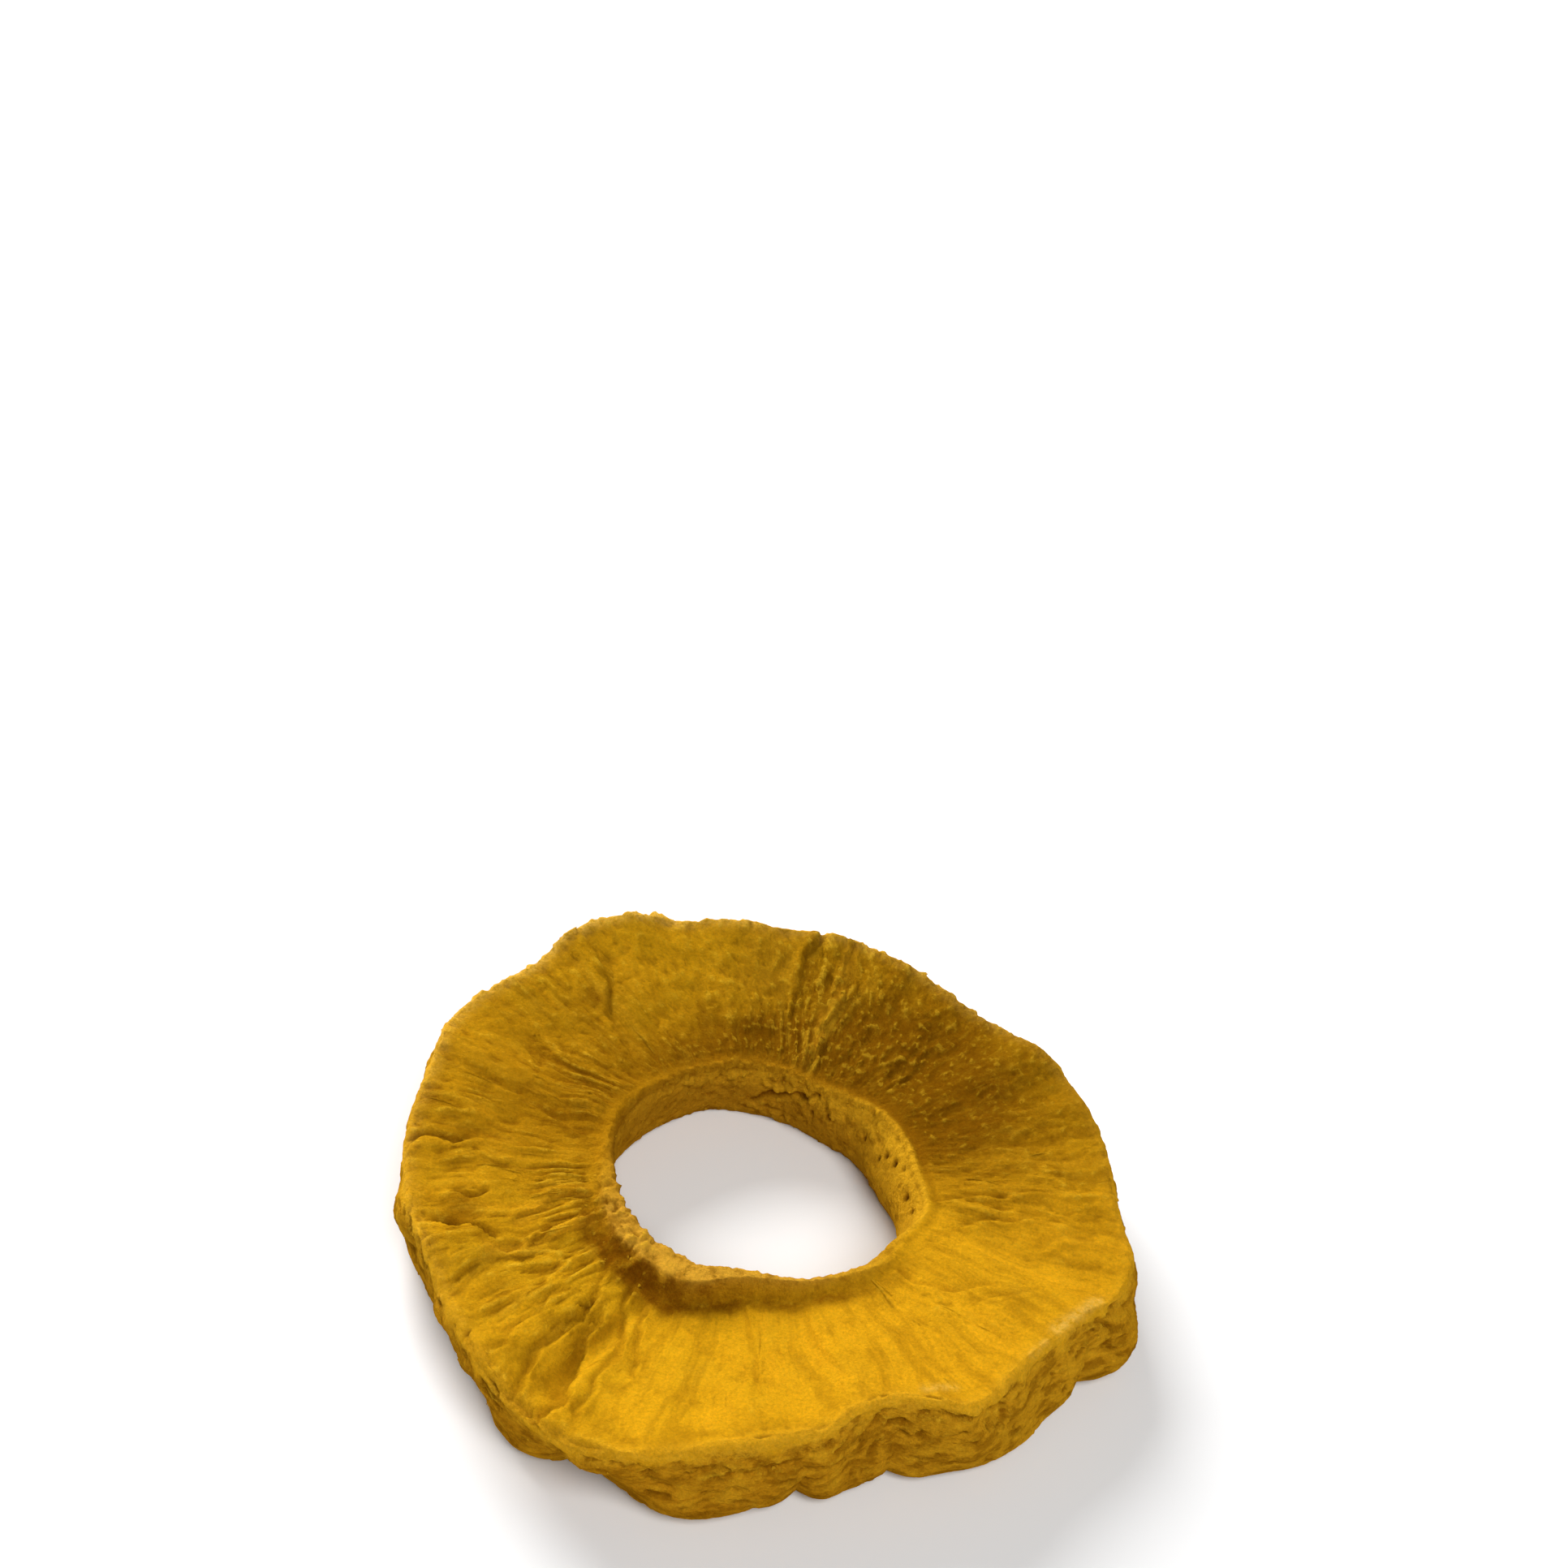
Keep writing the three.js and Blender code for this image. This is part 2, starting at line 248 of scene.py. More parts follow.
# %% Cracks and lips
# (how far the left side sinks, how high the lip stands, depth of the slit, reach), chain of places
CRACKS = [
    ((0.4, 0.2, 0.8, 1.7), [(206.5, 36.2), (208.5, 34.4), (209, 33.2), (211, 32.2)]),
    ((0.3, 0.35, 0, 1.4),
     [(213.5, 32.5), (215.5, 31.4), (215.5, 29.3), (214, 27.2), (212.5, 24.2), (212, 21)]),
    ((0.2, 0.2, 0, 1.2), [(203, 20.2), (202, 22), (202, 23.8), (206, 25.7), (208.5, 28)]),
    ((0.04, 0.12, 0.4, 0.4), [(201, 33.6), (201.2, 32.4), (200, 30.9)]),
    ((0.6, 0.35, 0.3, 2.2),
     [(190.5, 39.2), (189.5, 37.8), (188, 36.4), (187.5, 35.1), (188, 33.8), (187, 32.4)]),
    ((0.3, 0.15, 0, 1.4), [(187, 32.4), (186, 28), (187, 24)]),
    ((0.2, 0.2, 0.6, 0.9), [(212, 39.6), (211, 38.4)]),
    ((0.05, 0.1, 0.5, 0.4), [(234, 28.2), (235, 27.3), (234.5, 26.6)]),
    ((0.7, 0.35, 0.1, 1.4), [(245, 42.7), (247, 39.7), (244, 36), (242, 31.8), (240, 28.5)]),
    ((0.3, 0.22, 0.2, 0.8), [(249, 39.5), (248, 34.6), (247.5, 30), (244, 26), (239.5, 22.9)]),
    ((0.35, 0.3, 0.2, 0.9), [(240, 41), (239, 38.9), (237.5, 35.3), (237, 31.7), (238, 29)]),
    ((0.2, 0.2, 0.2, 0.6), [(252, 31.5), (249.5, 27.2), (246, 24)]),
    ((0.25, 0.2, 0.1, 0.7), [(237, 28.5), (235, 26.4), (230, 22)]),
    ((0.2, 0.2, 0.1, 0.7), [(233, 39.5), (232, 35), (230, 30.5)]),
    ((0.6, 0.15, 0.4, 1), [(242, 41.9), (238, 41.9), (234, 41.6), (230, 40.4)]),
    ((0.45, 0.15, 0.2, 0.8), [(264, 42.2), (258, 42.6), (252, 42.9), (245, 42.6)]),
    ((0.25, 0.2, 0, 0.55), [(276, 31.2), (275, 28.7), (274, 23.5), (272, 19.8)]),
    ((0.2, 0.15, 0, 0.6), [(292, 29.5), (289, 24.6), (289, 21.3)]),
    ((0.3, 0.25, 0.1, 1.5), [(130, 41.5), (130, 36.6), (132, 31.7), (137, 28.3), (140, 23.4)]),
    ((0.2, 0.15, 0.2, 0.7), [(128, 36.5), (130, 33), (136, 28.9)]),
    ((0.3, 0.3, 0, 1.5), [(87, 37.6), (88, 35.5), (89, 31.5), (89.5, 26.2)]),
    ((0.08, 0.28, 0, 0.7), [(80, 37), (81, 30), (81, 23.3)]),
    ((0.08, 0.25, 0, 0.7), [(80, 39.5), (77, 34), (76, 29)]),
    ((0.15, 0.2, 0.1, 0.7), [(356, 18.9), (359, 23.1), (2, 26.6), (4, 31)]),
    ((0.15, 0.2, 0.1, 0.7), [(322, 20), (322, 22.3), (328, 25.8), (333, 28.5)]),
    ((0.12, 0.15, 0.1, 0.6), [(327, 28), (333, 30.3), (337, 32.6)]),
    ((0.15, 0.2, 0, 0.9), [(349, 31), (353, 34), (355, 37)]),
    ((0.15, 0.2, 0.1, 0.7), [(349, 22.6), (353, 26), (357, 30)]),
    ((0.25, 0.2, 0, 1.2), [(168, 39), (170, 33), (173, 26), (178, 20.5)]),
    ((0.2, 0.2, 0, 1), [(152, 38.5), (157, 32), (160, 26), (163, 20)]),
    ((0.2, 0.18, 0, 1), [(224, 36.5), (226, 30), (227, 24)]),
    ((0.08, 0.18, 0, 0.7), [(54, 30), (52, 26), (50, 20)]),
]
SLIT_WIDTH = 0.4
# the sunk side of a crack gets painted shade, darkest at this depth
DEEP_SINK = 0.5  # where the flesh sinks this far, it is as dark as it gets


def polar(chain):
    direction, radius = np.radians([p[0] for p in chain]), np.array([p[1] for p in chain])
    return np.stack([radius * np.cos(direction), radius * np.sin(direction)], -1)


def signed_distance(x, y, chain):
    """Distance to a chain of points, positive on the left of the way it runs."""
    nearest, side = np.full(x.shape, 1e9), np.zeros(x.shape)
    for (ax, ay), (bx, by) in zip(chain[:-1], chain[1:]):
        run_x, run_y = bx - ax, by - ay
        share = np.clip(((x - ax) * run_x + (y - ay) * run_y) / (run_x**2 + run_y**2), 0, 1)
        off_x, off_y = x - ax - share * run_x, y - ay - share * run_y
        distance = np.hypot(off_x, off_y)
        closer = distance < nearest
        nearest = np.where(closer, distance, nearest)
        side = np.where(closer, np.sign(run_x * off_y - run_y * off_x), side)
    return nearest * side


def cracks(radius):
    """Height that the cracks add, and how much of a place is slit or sunk, from 0 to 1."""
    x, y = radius * np.cos(np.radians(angles)), radius * np.sin(np.radians(angles))
    wander = 0.22 * np.sin(0.9 * x + 0.6 * y) + 0.14 * np.sin(1.9 * y - 1.3 * x + 1)
    height, slits, sunk = np.zeros(x.shape), np.zeros(x.shape), np.zeros(x.shape)
    for (sink, lip, slit, reach), chain in CRACKS:
        distance = signed_distance(x + wander, y - wander, polar(chain))
        left = -sink * np.exp(-((np.abs(distance) / reach) ** 1.5))
        right = lip * bell(distance / (0.8 * reach))
        in_slit = bell((distance - sink - lip) / ((0.6 + 0.2 * slit) * SLIT_WIDTH))
        on_left = smooth(0.5 + distance / SLIT_WIDTH)
        height = height + mix(right, left, on_left) - slit * in_slit
        slits = np.maximum(slits, np.clip(slit * 2, 0, 1) * in_slit)
        sunk = np.maximum(sunk, np.clip(-left / DEEP_SINK, 0, 1) * on_left)
    return height, slits, sunk


print(len(CRACKS), "cracks, the longest chain has", max(len(chain) for _, chain in CRACKS), "places")

# %% [markdown]
# ## The section, walked once round
#
# The ring is a closed section swept round a closed loop, so its mesh is a plain grid without a seam or a
# pole: rows along the section and columns round the ring. Each stretch of the section also writes down
# what it is, as masks from 0 to 1, such as face, wall and core. Later steps read these masks, so that
# fibres stay on the face and crags stay on the wall.

# %% Rows of the section and their masks


def across(start, end, height):
    """A stretch of the face or the underside, from one radius to the next."""

    def point(t):
        radius = mix(start, end, t)
        return radius, height(radius)

    return point


FILLET_HEIGHT = 0.14  # how far dust and fibre fill the valley, as a share of its drop
FILLET_REACH = 1.5
# (rows, shape, {mask: (value where the stretch starts, value where it ends)})
STRETCHES = [
    (22, hole_wall, {"core": (1, 1)}),
    (6, across(hole, collar_end, face_height), {"core": (1, 0), "collar": (1, 1), "top": (1, 1)}),
    (9, across(collar_end, valley, face_height),
     {"collar": (1, 0), "slope": (0.6, 1), "face": (0, 1), "top": (1, 1)}),
    (42, across(valley, rim_start, face_height), {"face": (1, 1), "top": (1, 1)}),
    (8, across(rim_start, rim, face_height),
     {"face": (1, 0.3), "edge": (0, 1), "wall": (0.1, 1), "side": (0, 1), "top": (1, 0.3)}),
    (32, outer_wall, {"wall": (1, 0.5), "side": (1, 1), "edge": (1, 0)}),
    (3, across(foot, foot_start, underside_height), {"wall": (0.5, 0.3), "side": (1, 0), "face": (0, 0.5)}),
    (8, across(foot_start, under_valley, underside_height), {"face": (1, 1)}),
    (3, across(under_valley, rest_end, underside_height), {"face": (1, 0), "rest": (0, 1)}),
    (2, across(rest_end, rest_start, underside_height), {"core": (1, 1), "rest": (1, 1)}),
    (2, across(rest_start, hole_foot, underside_height), {"core": (1, 1), "rest": (1, 0)}),
]
MASKS = ["face", "wall", "side", "core", "collar", "slope", "edge", "rest", "top"]
HOLE_EDGE_ROW = STRETCHES[0][0]
RIM_ROW = sum(rows for rows, _, _ in STRETCHES[:5])
ROWS = sum(rows for rows, _, _ in STRETCHES)

radii, heights, masks = [], [], {name: [] for name in MASKS}
for rows, shape, stretch_masks in STRETCHES:
    t = np.arange(rows)[:, None] / rows
    radius, height = shape(t)
    radii.append(radius + 0 * angles)
    heights.append(height + 0 * angles)
    for name in MASKS:
        start, end = stretch_masks.get(name, (0, 0))
        masks[name].append(mix(start, end, t) + 0 * angles)
radii, heights = np.vstack(radii), np.vstack(heights)
masks = {name: np.vstack(parts) for name, parts in masks.items()}
crack_heights, slits, sunk = cracks(radii)
fillet = FILLET_HEIGHT * bell((radii - valley) / FILLET_REACH) * valley_drop
heights = heights + (crack_heights + fillet) * masks["top"]
masks["slit"] = slits * masks["top"]
masks["sunk"] = sunk * masks["top"]
print("grid of", ROWS, "rows and", COLUMNS, "columns:", 2 * ROWS * COLUMNS, "triangles")

# %% [markdown]
# ## Where the flesh differs
#
# No two places on a dried slice are alike. The face is smooth on one side and crumpled opposite, the rim
# is toothed here and carries a painted highlight there, the collar has broken on one side only, and painted
# shade and light darken or brighten some places. Masks painted by hand would be tied to one mesh. Here they
# are worked out from distances: to a place or a chain of places, to an edge of the section, and round the
# ring. They fit a grid of any fineness.

# %% Distances on the face and along the section
UNROLLED_MIDDLE = 60  # the unrolled wall of the hole has its seam on the opposite side
turn = np.radians(angles) + 0 * radii
flat_x, flat_y = radii * np.cos(turn), radii * np.sin(turn)
steps = np.hypot(np.diff(radii, axis=0), np.diff(heights, axis=0))
walked = np.vstack([0 * steps[:1], np.cumsum(steps, axis=0)])
from_hole_edge = walked - walked[HOLE_EDGE_ROW]  # outwards over the face, and negative on the hole's wall
from_rim = walked - walked[RIM_ROW]  # down the outer wall, and negative on the face


def spot(direction, distance, reach):
    """1 at a place on the face, fading to 0 at its reach."""
    x, y = polar([(direction, distance)])[0]
    return 1 - smooth(np.hypot(flat_x - x, flat_y - y) / reach)


def drawn(chains):
    """A mask that fades out on both sides of some chains of places."""
    return np.max([strength * bell(signed_distance(flat_x, flat_y, polar(chain)) / reach)
                   for (reach, strength), chain in chains], axis=0)


def around_hole(direction, below):
    """A place on the hole's wall, unrolled: millimetres round it and down from its edge."""
    return np.radians(away(direction, UNROLLED_MIDDLE)) * HOLE_RADIUS, below


print("the section is", round(walked[-1].mean(), 1), "mm long")

# %% Slope, collar and shade, which follow the section
# The slope's mask carries painted shade below the collar, darkest where the valley drops deepest and fading
# out past it
VALLEY_REACH = 2.4
FULL_DROP = 1.2  # where the valley lies this deep, its slope is as dark as it gets
inner_part = 1 - smooth((radii - 20) / 22)
beside_hole = 1 - smooth((radii - 18) / 9)
raised = np.clip(valley_drop / FULL_DROP, 0, 1)
face_top = masks["face"] * masks["top"]
past_valley = (1 - smooth((radii - valley) / VALLEY_REACH)) * face_top
masks["slope"] = np.maximum(masks["slope"], past_valley) * raised
masks["collar"] = masks["collar"] * raised
masks["wall"] = masks["wall"] * (0.2 + 0.8 * smooth(heights / 5))
masks["inside"] = smooth((rim - radii - 2.5) / 1.5) * masks["top"]
# (waves round the ring, phase in degrees) of the wobble that keeps edges of colour from running straight
wobble = sum(np.sin(np.radians(waves * angles + phase)) for waves, phase in [(23, 0), (41, 40), (67, 90)])
past_collar = radii - collar_end + 0.2 * wobble
under_collar = smooth((past_collar + 0.1) / 0.5) * (1 - smooth((past_collar - COLLAR_SLOPE) / VALLEY_REACH))
ring_band = smooth((from_hole_edge + 2) / 0.7) * (1 - smooth((from_hole_edge - 0.6) / 0.7))
print("the slope covers", round(100 * masks["slope"].mean(), 1), "per cent of the grid")

# %% Masks that come and go round the ring
SMOOTH_RING = [(22, 1, 70)]  # where the hole's edge is a smooth pale ring with a dark line round it
# mask, value all round, lobes as in the outlines, where on the section it applies
LOBED_MASKS = [
    ("fibrous", 0.45, [(155, 0.95, 45), (196, 0.75, 40), (218, 0.8, 34), (95, 0.1, 50), (46, -0.25, 34),
                       (81, 1.3, 14), (5, 0.3, 25), (270, -0.2, 45)], 0.55 + 0.45 * inner_part),
    ("crumpled", 0.1, [(75, 0.85, 115)], face_top),
    ("pleated", 0, [(12, 1, 48), (322, 0.5, 30)], face_top),
    # painted light: the face at the right and the near right is brightened
    ("golden", 0, [(312, 0.8, 62), (0, 0.9, 32)], face_top),
    # painted shade: the far side, the upper right and the ground round the hole are darkened
    ("deep", 0, [(48, 1.5, 68), (108, 0.25, 50), (160, 0.5, 60)], 0.35 + 0.65 * inner_part),
    ("deep", 0, [(180, 0.25, 70)], 1),
    ("deep", 0, [(85, 1.1, 85)], beside_hole),
    ("shaded", 0, [(236, 1, 42)], under_collar * masks["top"]),
    ("broken", 0, [(216, 1, 46)], np.maximum(masks["collar"], 0.5 * masks["slope"])),
    ("ring", 0, SMOOTH_RING, ring_band),
    ("moat", 0, SMOOTH_RING, bell((from_hole_edge - 1.7) / 0.5)),
    ("lip", 0.1, [(78, 0.9, 115)], bell((from_hole_edge + 0.8) / 1.8)),
    ("crumbled", 0.15, [(95, 0.85, 115)], masks["core"]),
    ("pitted", 0.15, [(20, 0.5, 45)], masks["core"]),
    # painted light on the hole's wall at the right, which faces the lamp, and paler patches on the outer
    # wall
    ("dusty", 0, [(10, 2.1, 65)], masks["core"]),
    ("dusty", 0, [(325, 1, 50), (190, 0.6, 50)], masks["side"]),
    ("ragged", 0, [(120, 0.9, 45), (68, 0.7, 45)], masks["edge"] ** 3),
    # painted highlight along the rim, strongest on the near side
    ("brim", 0.15, [(290, 0.85, 80), (135, 0.75, 55)], bell((from_rim + 0.8) / 0.8)),
    ("fringe", 0.05, [(130, 0.85, 65), (62, 0.4, 45), (195, 0.1, 40)], bell((from_rim + 0.6) / 1.2)),
    ("band", 0.2, [(270, 0.75, 80)], bell(from_rim / 2.8)),
]
for name, base, lobes, where in LOBED_MASKS:
    masks[name] = masks.get(name, 0) + lobed(base, lobes) * where

# how far the colour of the face runs down over the rim, in millimetres
roll_reach = lobed(1.1, [(256, 0.8, 20)])
rolled = smooth((from_rim + 0.3 + 0.3 * wobble) / roll_reach)
below_rim = (from_rim > -roll_reach) * 1
masks["side"] = masks["side"] * mix(1, rolled, below_rim)
masks["wall"] = masks["wall"] * mix(1, 0.25 + 0.75 * rolled, below_rim)
print(len(LOBED_MASKS), "rows of lobes")

# %% Masks at places and chains of places
# (direction, distance from the hole's axis, reach)
CRUMBLY_PLACES = [
    (152, 31, 4.5), (78, 31, 5), (128, 40, 3), (206, 38.5, 2.5), (322, 26, 3), (185, 37, 2),
    (236, 41, 3), (248, 42, 3),
]
# (direction, distance from the hole's axis, reach, strength) of browner places, partly painted shade and
# partly brown patches of the flesh
SHADE_AND_STAINS = [
    (98, 21.5, 3.5, 0.6), (87, 20.5, 3.5, 0.7), (60, 24, 5, 0.5), (204, 33.5, 3, 0.6), (178, 37, 2.5, 0.4),
    (136, 31, 3, 0.5), (112, 25, 4, 0.3), (222, 22.5, 3, 0.4),
]
# (reach in millimetres, strength from 0 to 1), chain of places on the face that are clearer than the rest
CLEAR = [
    ((1.1, 0.8), [(81, 18), (80, 20.7), (79.5, 25.4), (79, 29.6), (80, 34.7), (80, 37)]),
    ((3.5, 0.6), [(98, 30), (95, 37)]),
    ((0.8, 0.7), [(203, 20.2), (202, 23.8), (206, 25.7), (208.5, 28)]),
    ((0.9, 0.8), [(214.5, 32.5), (216, 29.3), (213, 24.2), (213, 21)]),
]
# the same for places that are chalky and pale
CHALK = [
    ((0.7, 0.9), [(331.5, 36.8), (337, 38), (342, 38.7)]),
    ((0.4, 0.6), [(324, 36.8), (328, 36.8)]),
    ((0.5, 0.6), [(304, 34.4), (309, 35.1)]),
    ((0.4, 0.6), [(294, 35.4), (297, 35.1)]),
]
# (direction, millimetres below the hole's edge, reach) of pits in the core
CORE_PITS = [
    (28.5, 2.5, 0.45), (21.5, 2, 0.5), (15, 1.2, 0.35), (3.5, 2.5, 0.4), (31.5, 3.6, 0.35),
    (73.5, 3.5, 0.4), (65, 2.6, 0.4), (45, 3.2, 0.3), (356, 2.2, 0.3),
]
PIT_HEIGHT = 1.4  # how much taller than wide a pit is
CORE_CRACK = [(98.5, 5.4), (89, 3), (81, 2), (72, 0.7)]
CORE_CRACK_WIDTH = 0.3

masks["crumbly"] = np.max([spot(*place) for place in CRUMBLY_PLACES], axis=0) * masks["top"]
for *place, strength in SHADE_AND_STAINS:
    masks["deep"] = masks["deep"] + strength * spot(*place)
masks["deep"] = np.minimum(masks["deep"], 1) * np.maximum(masks["top"], 0.15 * masks["core"])
masks["chalk"] = drawn(CHALK) * masks["top"]
masks["clear"] = drawn(CLEAR) * masks["top"]

unrolled_x, unrolled_y = around_hole(angles + 0 * radii, -from_hole_edge)
ripple = 0.3 * np.sin(2.1 * unrolled_x)
core_crack = signed_distance(unrolled_x, unrolled_y + ripple, [around_hole(*place) for place in CORE_CRACK])
pits = [bell(core_crack / CORE_CRACK_WIDTH)]
for direction, below, reach in CORE_PITS:
    pit_x, pit_y = around_hole(direction, below)
    pits.append(bell(np.hypot((unrolled_x - pit_x) * PIT_HEIGHT, unrolled_y - pit_y) / reach))
masks["pit"] = np.max(pits, axis=0) * masks["core"]
print(len(masks), "masks:", ", ".join(sorted(masks)))

# %% [markdown]
# ## From the grid to a mesh
#
# The solid in the frame is centred on its own box, because the lobes leave the hole off centre. The fine
# grid is moved by the difference of the two boxes, and then lies in the solid. The masks go along as
# attributes, and so do three vectors. The fan runs round the ring and outwards, so that a noise read at it
# is drawn out into fibres. The girth runs round the ring and down the wall, for layers, and outward points
# away from the hole.

# %% Build the ring's mesh with its attributes
FIBRES_ROUND = 120  # bundles of fibre round the ring
FIBRE_LENGTH = 7


def grid_quads(rows, columns):
    """Quads of a grid that closes on itself both ways."""
    corner = np.arange(rows * columns).reshape(rows, columns)
    below = np.roll(corner, -1, axis=0)
    corners = [corner, below, np.roll(below, -1, axis=1), np.roll(corner, -1, axis=1)]
    return np.stack(corners, -1).reshape(-1, 4)


def add_mesh(name, vertices, quads):
    mesh = bpy.data.meshes.new(name)
    mesh.from_pydata(vertices, [], quads)
    mesh.shade_smooth()
    return mesh


def add_object(name, data):
    thing = bpy.data.objects.new(name, data)
    bpy.context.scene.collection.objects.link(thing)
    return thing


def add_attribute(mesh, name, values):
    kind, key = ("FLOAT_VECTOR", "vector") if values.ndim == 2 else ("FLOAT", "value")
    attribute = mesh.attributes.new(name, kind, "POINT")
    attribute.data.foreach_set(key, values.astype(np.float32).ravel())


def round_the_ring(radius, third):
    """Vectors that run round the ring at a radius, with a third coordinate of their own."""
    return np.stack([radius * np.cos(turn), radius * np.sin(turn), third], -1).reshape(-1, 3)


points = round_the_ring(radii, heights)
solid_box = [np.array(corner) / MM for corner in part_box(NODE)]
solid_middle = (solid_box[0] + solid_box[1]) / 2
own_middle = (points.min(0) + points.max(0)) / 2
HOLE_AXIS = (solid_middle - own_middle) * (1, 1, 0)
ring_mesh = add_mesh("dried_ring", (points + HOLE_AXIS) * MM, grid_quads(ROWS, COLUMNS))
for name, values in masks.items():
    add_attribute(ring_mesh, name, values.ravel())
add_attribute(ring_mesh, "fan", round_the_ring(FIBRES_ROUND / (2 * np.pi), radii / FIBRE_LENGTH))
add_attribute(ring_mesh, "girth", round_the_ring(RIM_RADIUS, from_rim))
add_attribute(ring_mesh, "outward", round_the_ring(1, 0 * turn))
ring = add_object("dried_ring", ring_mesh)
print("hole's axis stands at", HOLE_AXIS.round(2)[:2], "mm;", len(ring_mesh.vertices), "points")

# %% [markdown]
# ## Nodes written as arithmetic
#
# Both the relief and the colours are node trees. Wiring them by hand is long, so one small class wraps an
# output socket, and each plus, minus or times on it adds a Math node. Any other node comes from one
# method, which takes its kind, its settings, and the values or links of its sockets. A mask is read by
# its name, as tree.on.face.

# %% A socket that can be calculated with, and a tree that makes nodes


class Field:
    """An output socket. Arithmetic on it adds Math nodes, and [name] is another output of its node."""

    def __init__(self, maker, socket):
        self.maker = maker
        self.socket = socket

    def math(self, operation, *values):
        return self.maker.node("ShaderNodeMath", dict(enumerate(values)), operation=operation)

    def __getitem__(self, name):
        return Field(self.maker, Maker.pick(self.socket.node.outputs, name))

    def __add__(self, other):
        return self.math("ADD", self, other)

    def __sub__(self, other):
        return self.math("SUBTRACT", self, other)

    def __rsub__(self, other):
        return self.math("SUBTRACT", other, self)

    def __mul__(self, other):
        return self.math("MULTIPLY", self, other)

    def __truediv__(self, other):
        return self.math("DIVIDE", self, other)

    def __pow__(self, other):
        return self.math("POWER", self, other)

    def __abs__(self):
        return self.math("ABSOLUTE", self)

    __radd__ = __add__
    __rmul__ = __mul__

    def ramp(self, low, high):
        """0 below low, 1 above high, and smooth between them. high may lie below low."""
        sockets = {"Value": self, "From Min": low, "From Max": high}
        return self.maker.node("ShaderNodeMapRange", sockets, interpolation_type="SMOOTHSTEP")


class Masks:
    """The ring's masks, each read by its name."""

    def __init__(self, maker):
        self.maker = maker

    def __getattr__(self, name):
        return self.maker.attribute(name)


class Maker:
    """Makes nodes in one tree."""

    def __init__(self, tree):
        self.tree = tree
        self.on = Masks(self)

    def node(self, kind, sockets=None, out=0, **settings):
        """Adds a node, sets it up, feeds its sockets and gives back one of its outputs, by name or place."""
        node = self.tree.nodes.new(kind)
        for key, value in settings.items():
            setattr(node, key, value)
        for key, value in (sockets or {}).items():
            socket = self.pick(node.inputs, key)
            if isinstance(value, Field):
                self.tree.links.new(value.socket, socket)
            else:
                socket.default_value = value
        return Field(self, self.pick(node.outputs, out)) if node.outputs else None

    @staticmethod
    def pick(sockets, key):
        live = [s for s in sockets if s.enabled]
        return live[key] if isinstance(key, int) else next(s for s in live if s.name == key)

    def vector(self, operation, one, other):
        second = "Scale" if operation == "SCALE" else 1
        return self.node("ShaderNodeVectorMath", {0: one, second: other}, operation=operation)

    def noise(self, where, scale, detail=2, roughness=0.5, out=0):
        sockets = {"Vector": where, "Scale": scale, "Detail": detail, "Roughness": roughness}
        return self.node("ShaderNodeTexNoise", sockets, out)

    def push(self, where, scale, detail, reach):
        """A vector that wanders from place to place, to push a place or a point with."""
        wander = self.vector("SUBTRACT", self.noise(where, scale, detail, out=1), (0.5, 0.5, 0.5))
        return self.vector("SCALE", wander, reach)


# %% A geometry tree with named inputs, and how its result becomes a plain mesh


class ShapeTree(Maker):
    """A Geometry Nodes tree with a mesh input, a mesh output and named numbers between them."""

    def __init__(self, name, numbers):
        super().__init__(bpy.data.node_groups.new(name, "GeometryNodeTree"))
        face = self.tree.interface
        face.new_socket("Mesh", in_out="INPUT", socket_type="NodeSocketGeometry")
        face.new_socket("Mesh", in_out="OUTPUT", socket_type="NodeSocketGeometry")
        kinds = {float: "NodeSocketFloat", int: "NodeSocketInt"}
        self.numbers = {}
        for label, value in numbers.items():
            socket = face.new_socket(label, in_out="INPUT", socket_type=kinds[type(value)])
            self.numbers[label] = (socket.identifier, value)
        self.entry = self.tree.nodes.new("NodeGroupInput")
        self.mesh = Field(self, self.entry.outputs["Mesh"])

    def number(self, label):
        return Field(self, self.entry.outputs[label])

    def attribute(self, name, kind="FLOAT"):
        return self.node("GeometryNodeInputNamedAttribute", {"Name": name}, data_type=kind)

    def place(self):
        """The position of a point in millimetres."""
        return self.vector("SCALE", self.node("GeometryNodeInputPosition"), 1 / MM)

    def finish(self, mesh):
        exit_node = self.tree.nodes.new("NodeGroupOutput")
        self.tree.links.new(mesh.socket, exit_node.inputs[0])

    def apply_to(self, thing):
        """Runs the tree on an object and returns the result as a plain mesh."""
        modifier = thing.modifiers.new(self.tree.name, "NODES")
        modifier.node_group = self.tree
        for identifier, value in self.numbers.values():
            modifier[identifier] = value
        graph = bpy.context.evaluated_depsgraph_get()
        result = bpy.data.meshes.new_from_object(
            thing.evaluated_get(graph), preserve_all_data_layers=True, depsgraph=graph)
        thing.modifiers.remove(modifier)
        print(self.tree.name, "made", len(result.vertices), "points")
        return result


# %% [markdown]
# ## Relief in Geometry Nodes
#
# The fine surface follows a rule, so Geometry Nodes make it. Every point moves along its normal by a
# height in millimetres. On the face that height is noise read at the fan, with steps that look like
# lifted flaps. On the outer wall it is noise pressed flat, with ledges and pockets, and the core, the
# broken collar and the rim's fringe get rounded lumps, like crumbs. The flat under the collar gets none of
# it. One more attribute, the crest, is above 0 where a point stands out from those around it. The colours
# read that.

# %% The relief tree
SWAY_SCALE = 0.12  # bundles of fibre bend slowly to and fro
SWAY = 2.6
